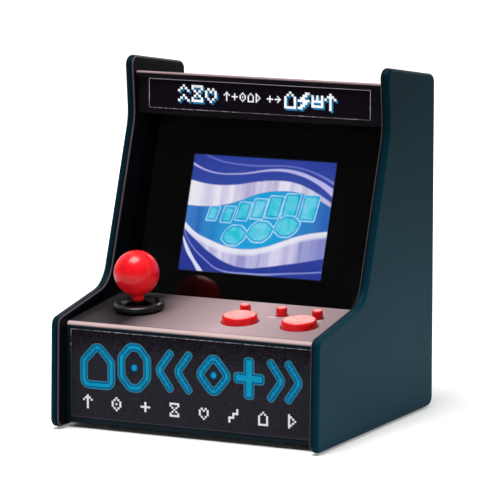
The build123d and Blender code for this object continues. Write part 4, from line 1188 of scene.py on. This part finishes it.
class CabinetFrontLabel(bpy.types.Operator):
    """Neon signs and small marks printed on the front label"""

    bl_idname = "cabinet.front_label"
    bl_label = "Print of the front label"

    STROKE = 2.75 * MM
    BEND = 1.6 * MM  # radius of a stroke's corners, along its middle
    SIGN_FOOT, SIGN_TOP = 12.6 * MM, 27.9 * MM

    def execute(self, context):
        look = context.scene.cabinet_look
        colours = (("neon_edge", look.neon_edge), ("neon_body", look.neon_body),
                   ("neon_line", look.neon_line), ("neon_core", look.neon_core))
        # The neon inks glow a little with painted light.
        inks = [ink_finish(name, colour, 0.06).material for name, colour in colours]
        middle = (self.SIGN_FOOT + self.SIGN_TOP) / 2
        tall = self.SIGN_TOP - self.SIGN_FOOT
        home = ((-36.0, 13.9), (-26.6, 13.9), (-26.6, 21.2), (-31.3, 26.2), (-36.0, 21.2))
        octagon = ((-23.1, 17.3), (-20.2, 14.0), (-17.2, 14.0), (-14.3, 17.3),
                   (-14.3, 23.2), (-17.2, 26.5), (-20.2, 26.5), (-23.1, 23.2))
        rhombus = ((8.1, 14.4), (13.0, 20.25), (8.1, 26.1), (3.2, 20.25))
        signs = [self.stroke(corners, True, inks) for corners in (home, octagon, rhombus)]
        signs += self.bulbs(home[2:], 3, inks)
        for first in range(0, len(octagon), 2):
            signs += self.bulbs(octagon[first:first + 2], 2, inks)
        signs += self.bulbs((*rhombus, rhombus[0]), 3, inks)
        signs += [self.bulb(x * MM, middle, inks, 1.25) for x in (-18.7, 8.1)]
        signs += self.chevrons(-5.0 * MM, middle, (12.6, 6.3, 4.6), 90, inks)
        signs += self.crossed(19.9 * MM, middle, 10.4 * MM, tall - 2.4 * MM, inks)
        signs += self.chevrons(31.5 * MM, middle, (12.6, 5.8, 4.4), -90, inks)
        settle(join_all(signs), FRONT_LABEL_FACE, "neon_signs", "cabinet", [])
        self.small_marks(look)
        return {"FINISHED"}

    def neon(self, sign, inks):
        """Turn a flat stroke into printed tubing: edge, body, line and core."""
        use_inks(sign, inks)
        raise_print(0.012 * MM)
        lay_ink(((0.2 * MM, 0.004 * MM), (0.36 * MM, 0.006 * MM), (0.3 * MM, 0.0)))
        tidy_normals()
        return sign

    def bulb(self, x, y, inks, radius=0.62):
        """A bright bulb in its dark ring."""
        bulb = disc(20, radius * MM)
        use_inks(bulb, inks[2:])
        raise_print(0.026 * MM)
        lay_ink(((0.3 * radius * MM, 0.002 * MM),))
        tidy_normals()
        return shift(bulb, x, y)

    def bulbs(self, corners, count, inks):
        """Bulbs spaced along each straight run of a stroke."""
        found = []
        for start, end in zip(corners, corners[1:]):
            start, end = Vector(start) * MM, Vector(end) * MM
            for index in range(count):
                spot = start.lerp(end, (index + 1) / (count + 1))
                found.append(self.bulb(*spot, inks))
        return found

    def eased(self, corners, closed):
        """A stroke's path with an arc of three runs in place of each of its corners."""
        path = [Vector(corner) * MM for corner in corners]
        count = len(path)
        eased = []
        for index, spot in enumerate(path):
            if not closed and index in (0, count - 1):
                eased.append(spot)
                continue
            back = (path[index - 1] - spot).normalized()
            ahead = (path[(index + 1) % count] - spot).normalized()
            turn = math.pi - back.angle(ahead)
            cut = self.BEND * math.tan(turn / 2)
            centre = spot + (back + ahead).normalized() * self.BEND / math.cos(turn / 2)
            start, end = spot + back * cut - centre, spot + ahead * cut - centre
            for share in (0, 1 / 3, 2 / 3, 1):
                eased.append(centre + start.lerp(end, share).normalized() * self.BEND)
        return eased

    def stroke(self, corners, closed, inks):
        """A flat stroke of one width through its corners, with mitred turns, as tubing."""
        path = self.eased(corners, closed)
        count = len(path)
        sides = []
        for index, spot in enumerate(path):
            before = path[index] - path[index - 1] if closed or index else None
            after = path[(index + 1) % count] - spot if closed or index < count - 1 else None
            runs = [run.normalized() for run in (before, after) if run]
            bisector = sum(runs, Vector((0, 0))).normalized()
            across = Vector((-bisector.y, bisector.x))
            reach = self.STROKE / 2 / bisector.dot(runs[0])
            sides.append((spot + across * reach, spot - across * reach))
        if closed:
            sides.append(sides[0])
        strip = on_its_own(bpy.ops.mesh.primitive_plane_add, size=1)
        bpy.ops.mesh.delete(type="ONLY_FACE")
        choose(strip, "verts", lambda middle: middle.x > 0)
        bpy.ops.mesh.delete(type="VERT")
        choose_all()
        at = [Vector((-0.5, 0.5)), Vector((-0.5, -0.5))]
        for index, pair in enumerate(sides):
            if index:
                bpy.ops.mesh.extrude_region_move()
            self.move_rung(at, pair)
            at = pair
        choose_all()
        bpy.ops.mesh.remove_doubles(threshold=1e-6)
        if not closed:
            tips = (*sides[0], *sides[-1])
            choose(strip, "verts", lambda middle: any(
                (middle.xy - tip).length < 0.01 * MM for tip in tips))
            round_corners(self.STROKE * 0.42)
        return self.neon(strip, inks)

    def move_rung(self, at, target):
        """Move the two chosen verts of a strip's last rung to their new places."""
        shape = bmesh.from_edit_mesh(bpy.context.object.data)
        rung = sorted((vert for vert in shape.verts if vert.select),
                      key=lambda vert: (vert.co.xy - at[0]).length)
        for vert, spot in zip(rung, target):
            vert.co = (spot.x, spot.y, 0)
        bmesh.update_edit_mesh(bpy.context.object.data)

    def chevrons(self, x, y, size, turn, inks):
        """Two chevrons one after the other, each with a row of bulbs on its slopes."""
        half, step, reach = size[0] / 2, size[1], size[2]
        found = []
        for level in (-1, 1):
            low = level * step / 2 - reach / 2
            corners = ((-half, low), (0, low + reach), (half, low))
            whole = join_all(
                [self.stroke(corners, False, inks), *self.bulbs(corners, 3, inks)]
            )
            whole.rotation_euler = (0, 0, math.radians(turn))
            bpy.ops.object.transform_apply(location=False, rotation=True, scale=False)
            found.append(shift(whole, x, y))
        return found

    def crossed(self, x, y, width, height, inks):
        """An outlined cross with arms of one width, drawn out from a grid of nine squares."""
        arm = self.STROKE * 1.3 / 2
        cross = on_its_own(
            bpy.ops.mesh.primitive_grid_add, x_subdivisions=3, y_subdivisions=3, size=3
        )
        for axis, reach in ((0, width / 2), (1, height / 2)):
            for side in (-1, 1):
                for line, target in ((0.5, arm), (1.5, reach)):
                    choose(cross, "verts",
                           lambda middle: abs(side * middle[axis] - line) < 0.45)
                    move = [0, 0, 0]
                    move[axis] = side * (target - line)
                    bpy.ops.transform.translate(value=move)
        choose(cross, "faces", lambda middle: min(abs(middle.x), abs(middle.y)) > arm)
        bpy.ops.mesh.delete(type="FACE")
        choose(cross, "verts", lambda middle: max(abs(middle.x), abs(middle.y)) > 1.2 * arm)
        round_corners(1.2 * MM)
        return [shift(self.neon(cross, inks), x, y)]

    def small_marks(self, look):
        """A row of eight small white marks under the signs."""
        white = ink_finish("white_ink", look.print_white).material
        thickness = bpy.context.scene.cabinet_sizes.ink_thickness
        made = []
        for index, name in enumerate(ROW_MARKS):
            mark = grid_mark(MARKS[name], 3.3 * MM, 4.3 * MM, thickness)
            made.append(shift(mark, (-34.75 + index * 69.2 / 7) * MM, 8.55 * MM))
        settle(join_all(made), FRONT_LABEL_FACE, "label_marks", "cabinet",
               [white])


MARKS = {
    "rise": ("..#..", ".###.", "#.#.#", "..#..", "..#..", "..#..", "..#.."),
    "gem": ("..#..", ".#.#.", "#...#", "#.#.#", "#...#", ".#.#.", "..#.."),
    "plus": (".....", "..#..", "..#..", "#####", "..#..", "..#..", "....."),
    "glass": ("#####", "#...#", ".#.#.", "..#..", ".#.#.", "#...#", "#####"),
    "dart": ("#....", "##...", "#.#..", "#..#.", "#.#..", "##...", "#...."),
    "stairs": ("....#", "....#", "..###", "..#..", "###..", "#....", "#...."),
    "crown": (".....", "#.#.#", "#.#.#", "#####", "#...#", "#####", "....."),
    "heart": (".....", ".#.#.", "#.#.#", "#...#", "#...#", ".#.#.", "..#.."),
    "home": ("..#..", ".#.#.", "#...#", "#...#", "#...#", "#...#", "#####"),
    "peaks": ("..#..", ".#.#.", "#...#", ".....", "..#..", ".#.#.", "#...#"),
    "bolt": ("...##", "..##.", ".##..", "#####", "..##.", ".##..", "##..."),
    "ahead": (".....", "..#..", "...#.", "#####", "...#.", "..#..", "....."),
}
ROW_MARKS = ("rise", "gem", "plus", "glass", "heart", "stairs", "home", "dart")


class CabinetMarquee(bpy.types.Operator):
    """Print and border of the marquee's label"""

    bl_idname = "cabinet.marquee"
    bl_label = "Print of the marquee"

    def execute(self, context):
        look = context.scene.cabinet_look
        # The marquee's white and blue inks glow with painted light.
        white = ink_finish("marquee_white", look.print_white, 0.25).material
        blue = ink_finish("marquee_blue", look.print_shadow, 0.10).material
        self.border("marquee_label", MARQUEE_FACE, "marquee_border", 0.45)
        self.border("front_label", FRONT_LABEL_FACE, "front_border", 0.72)
        large, small = (4.0 * MM, 5.3 * MM), (2.1 * MM, 2.9 * MM)
        thickness = bpy.context.scene.cabinet_sizes.ink_thickness
        rows = []
        for name, x in (("peaks", -25.7), ("glass", -21.0), ("heart", -16.3)):
            rows.append((name, x, 98.45, large))
        for index, name in enumerate(("rise", "plus", "gem", "home", "dart")):
            rows.append((name, -10.8 + 2.75 * index, 98.15, small))
        for name, x in (("plus", 4.0), ("ahead", 6.7)):
            rows.append((name, x, 98.05, small))
        for name, x in (("home", 10.9), ("bolt", 15.5), ("crown", 20.1), ("rise", 24.5)):
            rows.append((name, x, 98.1, large))
        face, shade = [], []
        for name, x, z, size in rows:
            mark = grid_mark(MARKS[name], *size, thickness * 2)
            face.append(shift(mark, x * MM, z * MM))
            if size is large:
                under = grid_mark(MARKS[name], *size, thickness)
                shade.append(shift(under, (x + 0.55) * MM, (z - 0.55) * MM))
        settle(join_all(face), MARQUEE_FACE, "marquee_marks", "cabinet", [white])
        settle(join_all(shade), MARQUEE_FACE, "marquee_shade", "cabinet", [blue])
        return {"FINISHED"}

    def border(self, node, face, name, patch_share):
        """A label's thin pale edge, dark in patches over about a share of its length and paler towards its top."""
        low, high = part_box(node)
        rim = on_its_own(bpy.ops.mesh.primitive_plane_add, size=1)
        choose_all()
        resize(high.x - low.x, high.z - low.z)
        bpy.ops.mesh.inset(thickness=0.16 * MM, depth=0)
        bpy.ops.mesh.delete(type="FACE")
        raise_print(0.02 * MM)
        tidy_normals()
        shift(rim, 0, (low.z + high.z) / 2)
        finish = Finish(name)
        upper = finish.spread(finish.along(UP), 0, 0.3, low.z, high.z)
        patches = finish.math("ADD", finish.noise(900, 4, 0.7), upper)
        inks = (tone(58, 44, 54), tone(190, 186, 198))
        pale = finish.graded(patches, *inks, patch_share, patch_share + 0.2)
        finish.dress(pale, (patches, 0.5, 0.7))
        settle(rim, face, name, "cabinet", [finish.material])


class CabinetDeckMarks(bpy.types.Operator):
    """Small white marks printed by the small buttons"""

    bl_idname = "cabinet.deck_marks"
    bl_label = "Print of the deck"

    def execute(self, context):
        white = bpy.data.materials["white_ink"]
        dashes = (("##", "##"), ("##", ".#", "##"))
        made = []
        for node, offset, count in (("menu_button", -1.9, 4), ("start_button", 1.6, 3)):
            low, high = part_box(node)
            middle = (low.x + high.x) / 2
            for index in range(count):
                dash = grid_mark(dashes[index % 2], 0.55 * MM, 0.6 * MM, 0.015 * MM)
                x = middle + (offset + 0.75 * (index - count / 2)) * MM
                made.append(shift(dash, x, 20.6 * MM))
        settle(join_all(made), DECK_FACE, "deck_marks", "cabinet", [white])
        return {"FINISHED"}


# ---- panel and registration ----------------------------------------------------------

OPERATORS = (
    CabinetStage,
    CabinetFinishes,
    CabinetBallTop,
    CabinetRing,
    CabinetButtons,
    CabinetKeypad,
    CabinetPictureTiles,
    CabinetFrontLabel,
    CabinetMarquee,
    CabinetDeckMarks,
)


class CabinetPanel(bpy.types.Panel):
    """Lists what the cabinet is made of"""

    bl_idname = "VIEW3D_PT_cabinet"
    bl_label = "Desk Arcade Cabinet"
    bl_space_type = "VIEW_3D"
    bl_region_type = "UI"
    bl_category = "Cabinet"

    def draw(self, context):
        for operator in OPERATORS:
            self.layout.operator(operator.bl_idname)
        for group in (context.scene.cabinet_look, context.scene.cabinet_sizes):
            box = self.layout.box()
            for name in group.bl_rna.properties.keys():
                if name not in ("rna_type", "name"):
                    box.prop(group, name)


CLASSES = (CabinetLook, CabinetSizes, *OPERATORS, CabinetPanel)


def register():
    for kind in CLASSES:
        bpy.utils.register_class(kind)
    bpy.types.Scene.cabinet_look = bpy.props.PointerProperty(type=CabinetLook)
    bpy.types.Scene.cabinet_sizes = bpy.props.PointerProperty(type=CabinetSizes)


def unregister():
    del bpy.types.Scene.cabinet_sizes
    del bpy.types.Scene.cabinet_look
    for kind in reversed(CLASSES):
        bpy.utils.unregister_class(kind)


def main():
    register()
    for operator in OPERATORS:
        group, name = operator.bl_idname.split(".")
        getattr(getattr(bpy.ops, group), name)()


if __name__ == "__main__":
    main()
